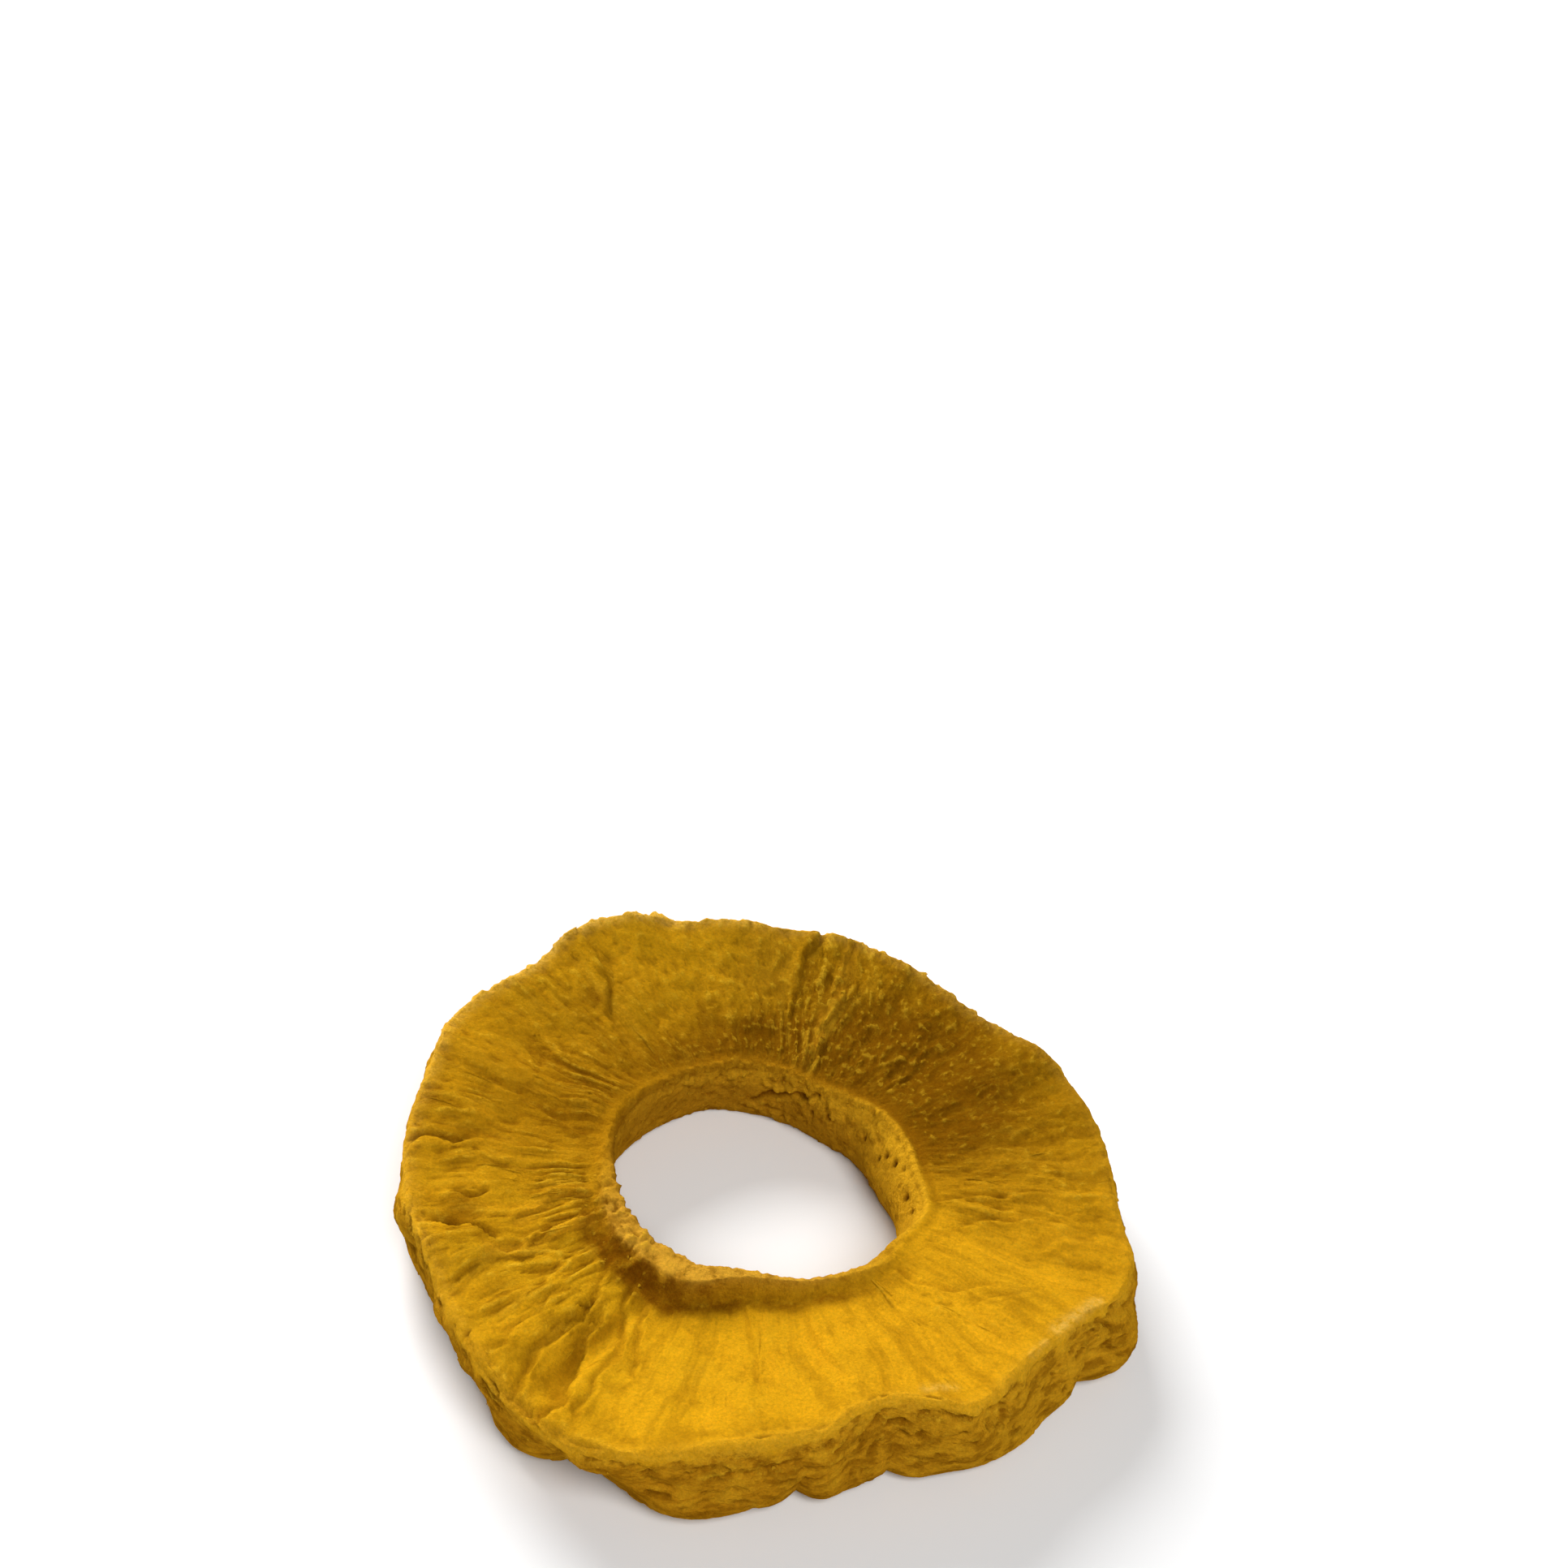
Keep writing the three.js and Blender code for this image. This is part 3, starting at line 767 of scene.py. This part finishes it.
# heights and depths in millimetres, then how much a flake droops for its height, and steps of blur
relief = ShapeTree("fibrous_relief", {
    "Swell": 0.32, "Fibre": 0.36, "Fine Fibre": 0.1, "Flap": 0.32, "Groove": 0.08, "Crumple": 0.3,
    "Chip": 0.17, "Flake": 0.36, "Ledge": 0.1, "Pocket": 0.6, "Crag": 0.35, "Band": 0.35, "Scallop": 0.5,
    "Teeth": 1.05, "Grain": 0.09, "Pore": 0.35, "Flake Droop": 0.25, "Blur Steps": 7,
})


def centred(noise):
    """A noise from about -1 to 1."""
    return noise * 3 - 1.5


def rise(tree, label, *noise):
    """A noise that rises and falls by the height of that label."""
    return centred(tree.noise(*noise)) * tree.number(label)


def lumps(tree, place, scale):
    """Rounded lumps with creases between them, from about -0.5 in a crease to 0.5 on a lump."""
    sockets = {"Vector": place, "Scale": scale, "Smoothness": 0.35}
    return 0.5 - tree.node("ShaderNodeTexVoronoi", sockets, feature="SMOOTH_F1")


def flaps(noise, count, soft):
    """Steps along the contours of a noise: a slow rise to 1 and a quick fall, like overlapping flakes."""
    step = noise.math("FRACT", noise * count)
    return step * step.ramp(1, 1 - soft)


def grooves(noise, width):
    """1 in the narrow places where a noise crosses its middle, else 0."""
    return abs(noise - 0.5).ramp(width, 0)


def face_relief(tree, place, fan):
    """Bundles, strands, flaps and grooves drawn out along the fan, over swells and crumpled places."""
    swayed = tree.vector("ADD", fan, tree.push(place, SWAY_SCALE, 1, SWAY))
    stretched = tree.vector("MULTIPLY", swayed, (1, 1, 0.5))
    swell = rise(tree, "Swell", place, 0.15, 1)
    patchy = tree.noise(place, 0.14, 1).ramp(0.3, 0.62) * 0.7 + 0.3
    bundles = rise(tree, "Fibre", stretched, 1.2, 2, 0.6)
    strands = rise(tree, "Fine Fibre", stretched, 2.6, 1)
    flapped = flaps(tree.noise(swayed, 0.35, 2, 0.55), 5, 0.45) * tree.number("Flap")
    creased = grooves(tree.noise(stretched, 0.55, 1.5, 0.55), 0.035) * tree.number("Groove")
    drawn_out = (bundles + strands + flapped - creased) * patchy * tree.on.fibrous
    crumple = rise(tree, "Crumple", place, 0.6, 2.5, 0.6)
    chips = flaps(tree.noise(place, 0.45, 2, 0.55), 6, 0.25) * tree.number("Chip")
    return swell + drawn_out * (1 - tree.on.slope * 0.7) + (crumple + chips) * tree.on.crumpled


def wall_relief(tree, place, girth):
    """Ledges and flakes lying flat, over swells that also make the wall's outline wander."""
    wandered = tree.vector("ADD", girth, tree.push(girth, 0.3, 2, 0.8))
    pressed = tree.vector("MULTIPLY", wandered, (0.5, 0.5, 1))
    flakes = rise(tree, "Flake", pressed, 0.9, 3, 0.6)
    ledges = (flaps(tree.noise(pressed, 0.35, 2, 0.5), 4, 0.5) - 0.5) * tree.number("Ledge")
    hollows = tree.noise(tree.vector("MULTIPLY", wandered, (0.45, 0.45, 1)), 1, 2)
    pockets = hollows.ramp(0.43, 0.35) * tree.number("Pocket")
    swells = rise(tree, "Crag", place, 0.16, 1)
    return flakes + ledges + swells - pockets


def band_relief(tree, girth):
    """Long flakes that lie along the rim."""
    wandered = tree.vector("ADD", girth, tree.push(girth, 0.15, 2, 3))
    return rise(tree, "Band", tree.vector("MULTIPLY", wandered, (0.1, 0.1, 0.5)), 1, 2)


def relief_height(tree):
    on = tree.on
    place = tree.place()
    fan = tree.attribute("fan", "FLOAT_VECTOR")
    girth = tree.attribute("girth", "FLOAT_VECTOR")
    grain = rise(tree, "Grain", place, 1.2, 2, 0.65)
    uneven = tree.noise(place, 0.35, 2).ramp(0.35, 0.65) * 1.2 + 0.4
    crumbs = (lumps(tree, place, 0.7) + lumps(tree, place, 1.6) * 0.6) * uneven
    cells = tree.node("ShaderNodeTexVoronoi", {"Vector": place, "Scale": 0.6})
    pores = cells.ramp(0.36, 0.12) * on.pitted * tree.number("Pore")
    teeth = centred(tree.noise(fan, 2.2, 1)) * 0.5 + centred(tree.noise(place, 0.35, 2))
    teeth = teeth + centred(tree.noise(place, 0.9, 1)) * 0.5
    scallops = lumps(tree, place, 0.3) * tree.number("Scallop") * on.edge ** 3
    crumbly = on.crumbled * (1 - on.collar) * 0.5 + on.collar * 0.15 + on.broken * 0.8
    crumbly = crumbly + on.lip * (0.75 - on.ring * 0.5) + on.crumbly * 0.3 + on.fringe * 0.9

    height = face_relief(tree, place, fan) * on.face
    height = height + wall_relief(tree, place, girth) * on.wall + band_relief(tree, girth) * on.band
    height = height + crumbs * crumbly + lumps(tree, place, 0.5) * 0.5 * on.slope
    height = height + teeth * tree.number("Teeth") * on.ragged + scallops
    height = height + on.ring * 0.2 - on.moat * 0.2 - on.pit * 0.5 - pores
    return height + grain * (on.wall + on.deep + on.collar * 1.5 + 0.5)


def keep(tree, mesh, name, value):
    sockets = {"Geometry": mesh, "Name": name, "Value": value}
    return tree.node("GeometryNodeStoreNamedAttribute", sockets)


def build_relief(tree):
    """Moves every point along its normal, and lets the flakes of the wall droop a little."""
    mesh = keep(tree, tree.mesh, "relief", relief_height(tree) * (1 - tree.on.rest))
    blur = {"Value": tree.on.relief, "Iterations": tree.number("Blur Steps")}
    mesh = keep(tree, mesh, "crest", tree.on.relief - tree.node("GeometryNodeBlurAttribute", blur))
    lifted = tree.on.relief * MM
    droop = lifted * tree.on.wall * tree.on.wall * tree.number("Flake Droop")
    offset = tree.vector("SCALE", tree.node("GeometryNodeInputNormal"), lifted)
    offset = tree.vector("ADD", offset, tree.node("ShaderNodeCombineXYZ", {"Z": 0 - droop}))
    tree.finish(tree.node("GeometryNodeSetPosition", {"Geometry": mesh, "Offset": offset}))


build_relief(relief)
ring.data = relief.apply_to(ring)
ring.data.name = "dried_ring"
crest = np.empty(len(ring.data.vertices), np.float32)
ring.data.attributes["crest"].data.foreach_get("value", crest)
print("crest from", crest.min().round(2), "to", crest.max().round(2), "mm, spread", crest.std().round(2))

# %% [markdown]
# ## The finish
#
# Freeze-dried flesh has no gloss. Its amber is painted browner in hollows, as painted shade, and paler on
# ridges, partly for broken cells that scatter the light and partly as a painted highlight. The finish is
# built like paint: a first colour, and then coats, each laid on by a share from 0 to 1 that comes from a
# mask, a noise or both. A list of coats is easier to read and to reorder than a chain of nodes. A fine
# bump gives the grain of broken cells, finer than any mesh should carry.

# %% Colours of the flesh
AMBER = (0.81, 0.40, 0.008, 1)
OLIVE = (0.66, 0.345, 0.007, 1)
BROWN = (0.25, 0.093, 0.002, 1)
DARK = (0.145, 0.040, 0.001, 1)
PALE = (0.84, 0.48, 0.022, 1)
STRAW = (0.76, 0.39, 0.014, 1)
TAN = (0.49, 0.206, 0.007, 1)
WOOD = (0.50, 0.235, 0.010, 1)
GOLD = (0.90, 0.42, 0.010, 1)
HAY = (0.67, 0.34, 0.030, 1)
BRIGHT = (0.92, 0.46, 0.014, 1)
SAND = (0.72, 0.33, 0.012, 1)
RUSSET = (0.50, 0.205, 0.005, 1)
CHALKY = (0.94, 0.58, 0.11, 1)
ROUGHNESS = 0.95
BUMP_HEIGHT = 0.5
# how much a noise is squeezed along the fan or the girth: the smaller a number, the longer the marks
STREAKS = (1, 1, 1)
BANDS = (0.4, 0.4, 0.15)
RAYS = (0.25, 0.25, 0.12)
FLECKS = (0.6, 0.6, 0.9)
PLEATS = (0.8, 0.8, 0.3)
LAYERS = (0.6, 0.6, 1.1)
PATCHES = (0.3, 0.3, 0.7)


class PaintTree(Maker):
    """The node tree of a new material."""

    def __init__(self, name):
        self.material = bpy.data.materials.new(name)
        self.material.use_nodes = True
        self.material.node_tree.nodes.clear()
        super().__init__(self.material.node_tree)

    def attribute(self, name, out="Fac"):
        return self.node("ShaderNodeAttribute", out=out, attribute_name=name)

    def place(self):
        """Object coordinates in millimetres."""
        return self.vector("SCALE", self.node("ShaderNodeTexCoord", out="Object"), 1 / MM)

    def coat(self, colour, coats):
        """A colour with coats over it, each (share from 0 to 1, colour)."""
        for share, over in coats:
            sockets = {"Factor": share, "A": colour, "B": over}
            colour = self.node("ShaderNodeMix", sockets, data_type="RGBA")
        return colour

    def swayed_fan(self, stretch):
        """The fan, bent by the same slow noise as in the relief, so that marks follow the fibres."""
        sway = self.push(self.place(), SWAY_SCALE, 1, SWAY)
        return self.vector("MULTIPLY", self.vector("ADD", self.attribute("fan", "Vector"), sway), stretch)

    def marks(self, stretch):
        """Marks of the face: a noise drawn out along the fan."""
        return self.noise(self.swayed_fan(stretch), 2.6, 3, 0.65)

    def pleats(self):
        """1 on the thin lines where the face is pleated, else 0."""
        return grooves(self.noise(self.swayed_fan(PLEATS), 1, 1.5, 0.5), 0.08) * self.on.pleated

    def layers(self, stretch, detail):
        """Thin layers of the wall and the rim: a noise drawn out along the girth."""
        girth = self.attribute("girth", "Vector")
        return self.noise(self.vector("MULTIPLY", girth, stretch), 1, detail, 0.6)


def flesh_colour(tree, place):
    on = tree.on
    # a noise for pale dust and for breaking up the painted highlights
    dust_and_glint = tree.noise(place, 1.5, 4, 0.7)
    blotches = tree.noise(place, 0.55, 5, 0.7)
    layers = tree.layers(LAYERS, 4)
    patches = tree.layers(PATCHES, 3)
    streaks, bands, rays, flecks = (tree.marks(stretch) for stretch in (STREAKS, BANDS, RAYS, FLECKS))
    patchy = tree.noise(place, 0.14, 1).ramp(0.3, 0.62) * 0.85 + 0.15
    bold = on.face * (on.deep * 0.35 + 0.28)
    fine = on.face * on.fibrous * patchy * (1 - on.slope * 0.7)
    slit = on.slit
    holes = slit.math("MAXIMUM", slit, on.pit)
    crest = on.crest * (on.face + 1) * (1 - on.lip * 0.5)
    pale_crest = 0.6 - (on.deep * 0.4 + on.core * 0.2 - on.crumpled * 0.35)
    flesh = tree.coat(AMBER, [
        (tree.noise(place, 0.16, 3, 0.6).ramp(0.4, 0.62) * 0.45, OLIVE),
        (on.side * 0.85, TAN),
        (on.core * 0.9, WOOD),
        # painted light on the hole's wall at the right, and paler patches on the outer wall
        (on.dusty * 0.4, STRAW),
        # painted light on the right of the face
        (on.golden * 0.4, GOLD),
        (on.core * blotches.ramp(0.5, 0.36) * 0.5, BROWN),
        (tree.noise(place, 0.28, 3, 0.65).ramp(0.5, 0.72) * 0.2, BROWN),
        (rays.ramp(0.5, 0.66) * bold, BROWN),
        (rays.ramp(0.48, 0.34) * bold, GOLD),
        # painted shade, with some brown patches of the flesh
        (on.deep * 0.95, BROWN),
    ])
    shaded = tree.coat(flesh, [
        (on.collar ** 4 * 0.9, HAY),
        (on.collar * blotches.ramp(0.52, 0.36) * 0.5, BROWN),
        # painted shade on the collar's slope
        (on.slope ** 1.8 * (blotches.ramp(0.6, 0.4) * 0.25 + 0.7), BROWN),
        (on.lip * (dust_and_glint.ramp(0.4, 0.6) * 0.5 + 0.4), STRAW),
        (on.shaded * (blotches.ramp(0.6, 0.4) * 0.25 + 0.62), DARK),
        # painted shade on the sunk side of the cracks
        (on.sunk * 0.5, BROWN),
        # painted shade in the slits and the pits
        (holes * 0.8, DARK),
        # painted shade in the hollows
        (crest.ramp(0, -0.26) * (0.7 - on.crumpled * 0.35), BROWN),
        (on.clear * (bands.ramp(0.4, 0.6) * 0.4 + 0.4), SAND),
    ])
    layered = tree.coat(shaded, [
        (on.band * 0.3, RUSSET),
        (layers.ramp(0.52, 0.4) * on.band * on.side.ramp(0, 0.4) * 0.4, BROWN),
        (patches.ramp(0.5, 0.4) * on.side * 0.62, BROWN),
        (patches.ramp(0.52, 0.64) * on.side * 0.4, STRAW),
        (layers.ramp(0.5, 0.34) * on.side * 0.3, BROWN),
        (layers.ramp(0.52, 0.68) * on.side * 0.2, STRAW),
    ])
    streaked = tree.coat(layered, [
        (flecks.ramp(0.48, 0.75) * on.crumpled * 0.26, STRAW),
        (flecks.ramp(0.5, 0.25) * on.crumpled * 0.22, BROWN),
        (bands.ramp(0.48, 0.34) * fine * 0.28, BROWN),
        (bands.ramp(0.52, 0.66) * fine * 0.4, STRAW),
        (streaks.ramp(0.5, 0.3) * fine * 0.25, BROWN),
        (streaks.ramp(0.52, 0.7) * fine * 0.15, PALE),
        (blotches.ramp(0.48, 0.3) * 0.18, BROWN),
        (blotches.ramp(0.54, 0.7) * 0.12, PALE),
        # painted highlight on the crests, together with paler broken flesh
        (crest.ramp(0.04, 0.26) * dust_and_glint.ramp(0.35, 0.6) * pale_crest, PALE),
        (tree.pleats() * 0.22, BROWN),
    ])
    dusted = tree.coat(streaked, [
        (on.ring * (dust_and_glint.ramp(0.35, 0.55) * 0.4 + 0.35), STRAW),
        (on.moat * 0.45, BROWN),
        # painted highlight along the rim
        (on.brim * (dust_and_glint.ramp(0.35, 0.6) * 0.4 + 0.3), BRIGHT),
        (on.edge ** 5 * dust_and_glint.ramp(0.42, 0.56) * 0.5, STRAW),
        (on.fringe * (dust_and_glint.ramp(0.4, 0.6) * 0.5 + 0.3), CHALKY),
        (on.chalk * dust_and_glint.ramp(0.3, 0.55) * 0.6, CHALKY),
    ])
    return tree.vector("SCALE", dusted, tree.noise(place, 3.2, 3, 0.75) * 0.85 + 0.6)


def flesh_material(name, paler):
    """The finish of the flesh. paler, from 0 to 1, lightens it for loose bits that light passes through."""
    tree = PaintTree(name)
    on = tree.on
    place = tree.place()
    grain = tree.noise(place, 1.8, 5, 0.8) * (on.crumpled * 2 + 1.2)
    grain = grain + tree.noise(place, 0.55, 5, 0.7) * 0.5
    strands = tree.marks(STREAKS) * on.face * (on.fibrous * 0.6 + 0.4)
    layers = tree.layers(LAYERS, 4) * on.side
    height = grain + strands * 0.5 + layers * 0.6 - tree.pleats() * 0.25
    bumped = tree.node("ShaderNodeBump", {"Strength": 1, "Distance": BUMP_HEIGHT * MM, "Height": height})
    colour = tree.coat(flesh_colour(tree, place), [(tree.noise(place, 0.8).ramp(0.3, 0.7) * paler, PALE)])
    finish = {"Base Color": colour, "Normal": bumped, "Roughness": ROUGHNESS, "Specular IOR Level": 0}
    shader = tree.node("ShaderNodeBsdfPrincipled", finish)
    tree.node("ShaderNodeOutputMaterial", {"Surface": shader})
    print(name, "has", len(tree.tree.nodes), "nodes")
    return tree.material


ring.data.materials.clear()
ring.data.materials.append(flesh_material("dried_flesh", 0))
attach(ring, BODY)
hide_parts(NODE)

# %% [markdown]
# ## Wisps and crumbs
#
# The dry surface sheds. Single fibres lift off the face, and crumbs of broken cells cling to the core, the
# rim and the wall. There are hundreds, so Geometry Nodes scatter them: points fall where a mask allows
# them, each gets a small shape, and a noise bends every shape differently. The seed is fixed, so the same
# bits lie in the same places each time.

# %% The scatter trees


def random(tree, low, high, seed):
    kind = "FLOAT_VECTOR" if isinstance(low, tuple) else "FLOAT"
    return tree.node("FunctionNodeRandomValue", {"Min": low, "Max": high, "Seed": seed}, data_type=kind)


def wisp_shape(tree):
    """A bowed, three-sided fibre, 1 long and pointed at both ends."""
    bend = {"Resolution": 5, "Start": (-0.5, 0, -0.2), "Middle": (0, 0.08, 1), "End": (0.5, 0, -0.2)}
    bow = tree.node("GeometryNodeCurveQuadraticBezier", bend)
    along = tree.node("GeometryNodeSplineParameter")
    thickness = 1.05 - abs(along * 2 - 1) ** 2
    bow = tree.node("GeometryNodeSetCurveRadius", {"Curve": bow, "Radius": thickness})
    profile = tree.node("GeometryNodeCurvePrimitiveCircle", {"Resolution": 3, "Radius": 0.5})
    sweep = {"Curve": bow, "Profile Curve": profile, "Fill Caps": True}
    return tree.node("GeometryNodeCurveToMesh", sweep)


def crumb_shape(tree):
    """A lump of forty-two corners, 1 across."""
    return tree.node("GeometryNodeMeshIcoSphere", {"Radius": 0.5, "Subdivisions": 2})


def scatter(tree, shape, density, smallest, largest, material):
    """Scatters a shape over the ring, laid flat and pointing outwards. Its sizes are in millimetres."""
    density = density * tree.number("Per Square Millimetre") / MM**2
    spread = {"Mesh": tree.mesh, "Density": density, "Seed": tree.number("Seed")}
    points = tree.node("GeometryNodeDistributePointsOnFaces", spread, "Points")
    stray = tree.vector("SCALE", random(tree, (-1, -1, -1), (1, 1, 1), 1), tree.number("Stray"))
    along = tree.vector("ADD", tree.attribute("outward", "FLOAT_VECTOR"), stray)
    upright = tree.node("FunctionNodeAlignRotationToVector", {"Vector": points["Normal"]}, axis="Z")
    turned = tree.node("FunctionNodeAlignRotationToVector", {"Rotation": upright, "Vector": along},
                       axis="X", pivot_axis="Z")
    size = tree.vector("SCALE", random(tree, smallest, largest, 2), random(tree, 0.5, 1, 3) * MM)
    bits = {"Points": points, "Instance": shape, "Rotation": turned, "Scale": size}
    mesh = tree.node("GeometryNodeInstanceOnPoints", bits)
    mesh = tree.node("GeometryNodeRealizeInstances", {"Geometry": mesh})
    bend = tree.push(tree.place(), 1.3, 1, tree.number("Warp") * MM)
    mesh = tree.node("GeometryNodeSetPosition", {"Geometry": mesh, "Offset": bend})
    tree.finish(tree.node("GeometryNodeSetMaterial", {"Geometry": mesh, "Material": material}))
    bits = add_object(tree.tree.name, tree.apply_to(ring))
    bits.data.name = bits.name
    bits.data.shade_smooth()
    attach(bits, BODY)
    print(bits.name, "has", sum(len(p.vertices) - 2 for p in bits.data.polygons), "triangles")


# %% Wisps on the face and crumbs on the rest
wisps = ShapeTree("wisps", {"Per Square Millimetre": 0.05, "Seed": 3, "Stray": 0.22, "Warp": 0.15})
on = wisps.on
wisp_places = on.face * on.inside * (on.fibrous * 0.8 + 0.3)
wisp_places = wisp_places * wisps.noise(wisps.place(), 0.2).ramp(0.4, 0.6)
scatter(wisps, wisp_shape(wisps), wisp_places, (1.2, 0.14, 0.05), (4, 0.26, 0.1),
        flesh_material("dried_wisps", 0.25))

crumbs = ShapeTree("crumbs", {"Per Square Millimetre": 0.9, "Seed": 8, "Stray": 3.0, "Warp": 0.5})
on = crumbs.on
crumb_places = on.broken * 0.6 + on.crumbly * 0.3 + on.lip * 0.35 + on.wall * 0.1 + on.edge ** 4 * 0.15
crumb_places = (crumb_places + on.crumbled * 0.25) * (1 - on.rest)
scatter(crumbs, crumb_shape(crumbs), crumb_places, (0.25, 0.2, 0.1), (0.65, 0.5, 0.25),
        flesh_material("dried_crumbs", 0.45))

# %% [markdown]
# ## Table, light and camera
#
# The ring lies on a plain pale table under soft light from above and behind, as from a window. The near
# side of the bowl faces that light and glows, and the walls that face the camera stay in half shade.

# %% Table
TABLE_SIZE = 3
TABLE_COLOUR = (0.8, 0.8, 0.8, 1)
TABLE_TINT = (0.74, 0.75, 0.76, 1)


def table_material():
    tree = PaintTree("pale_table")
    tint = tree.noise(tree.place(), 0.02, 2)
    colour = tree.coat(TABLE_COLOUR, [(tint * 0.06, TABLE_TINT)])
    tree.node("ShaderNodeOutputMaterial", {"Surface": tree.node("ShaderNodeBsdfDiffuse", {"Color": colour})})
    return tree.material


half = TABLE_SIZE / 2
table_corners = np.array([(-half, -half, 0), (half, -half, 0), (half, half, 0), (-half, half, 0)])
table = add_object("table", add_mesh("table", table_corners, np.array([[0, 1, 2, 3]])))
table.data.materials.append(table_material())
print("table of", TABLE_SIZE, "m")

# %% Lights
# name, direction from the middle, distance and width in metres, power in watts
LIGHTS = [
    ("window", (-0.5, 0.7, 0.46), 0.9, 0.7, 16.2),
    ("card", (0.25, -0.6, 0.8), 1, 0.6, 8.5),
]
SKY_STRENGTH = 0.14

for name, direction, distance, size, power in LIGHTS:
    direction = Vector(direction).normalized()
    light = bpy.data.lights.new(name, "AREA")
    light.shape = "DISK"
    light.size = size
    light.energy = power
    lamp = add_object(name, light)
    lamp.location = direction * distance
    lamp.rotation_euler = direction.to_track_quat("Z", "Y").to_euler()
    print(name, "of", power, "W, and", size, "m across")

world = bpy.data.worlds.new("soft_room")
bpy.context.scene.world = world
world.use_nodes = True
sky = world.node_tree.nodes["Background"].inputs
sky["Color"].default_value = (1, 1, 1, 1)
sky["Strength"].default_value = SKY_STRENGTH
bpy.context.scene.view_settings.view_transform = "Standard"

# %% Camera
PICTURE = 1932  # the picture is square, and this is its side in pixels
FOCAL_PIXELS = 3130
SENSOR = 36
CAMERA_ELEVATION = 45
CAMERA_ROLL = 9
CAMERA_DISTANCE = 280
HOLE_IN_PICTURE = (943, 1436)
HOLE_HEIGHT = 11


def aim_camera():
    """Looks at the hole from the front, and turns the camera so that the hole falls at its own pixel."""
    tilt = Matrix.Rotation(np.radians(90 - CAMERA_ELEVATION), 3, "X")
    roll = Matrix.Rotation(np.radians(CAMERA_ROLL), 3, "Z")
    x = (HOLE_IN_PICTURE[0] - PICTURE / 2) / FOCAL_PIXELS
    y = (PICTURE / 2 - HOLE_IN_PICTURE[1]) / FOCAL_PIXELS
    offset = Vector((0, 0, -1)).rotation_difference(Vector((x, y, -1)).normalized()).to_matrix()
    target = Vector(HOLE_AXIS) + Vector((0, 0, HOLE_HEIGHT))
    stand = (target + tilt @ Vector((0, 0, CAMERA_DISTANCE))) * MM
    return Matrix.Translation(stand) @ (tilt @ roll @ offset.transposed()).to_4x4()


camera_data = bpy.data.cameras.new("camera")
camera_data.sensor_width = SENSOR
camera_data.lens = SENSOR * FOCAL_PIXELS / PICTURE
camera_data.clip_start = 0.01
camera = add_object("camera", camera_data)
camera.matrix_world = aim_camera()
bpy.context.scene.camera = camera
print("camera at", [round(x, 3) for x in camera.location], "lens", round(camera_data.lens, 1), "mm")
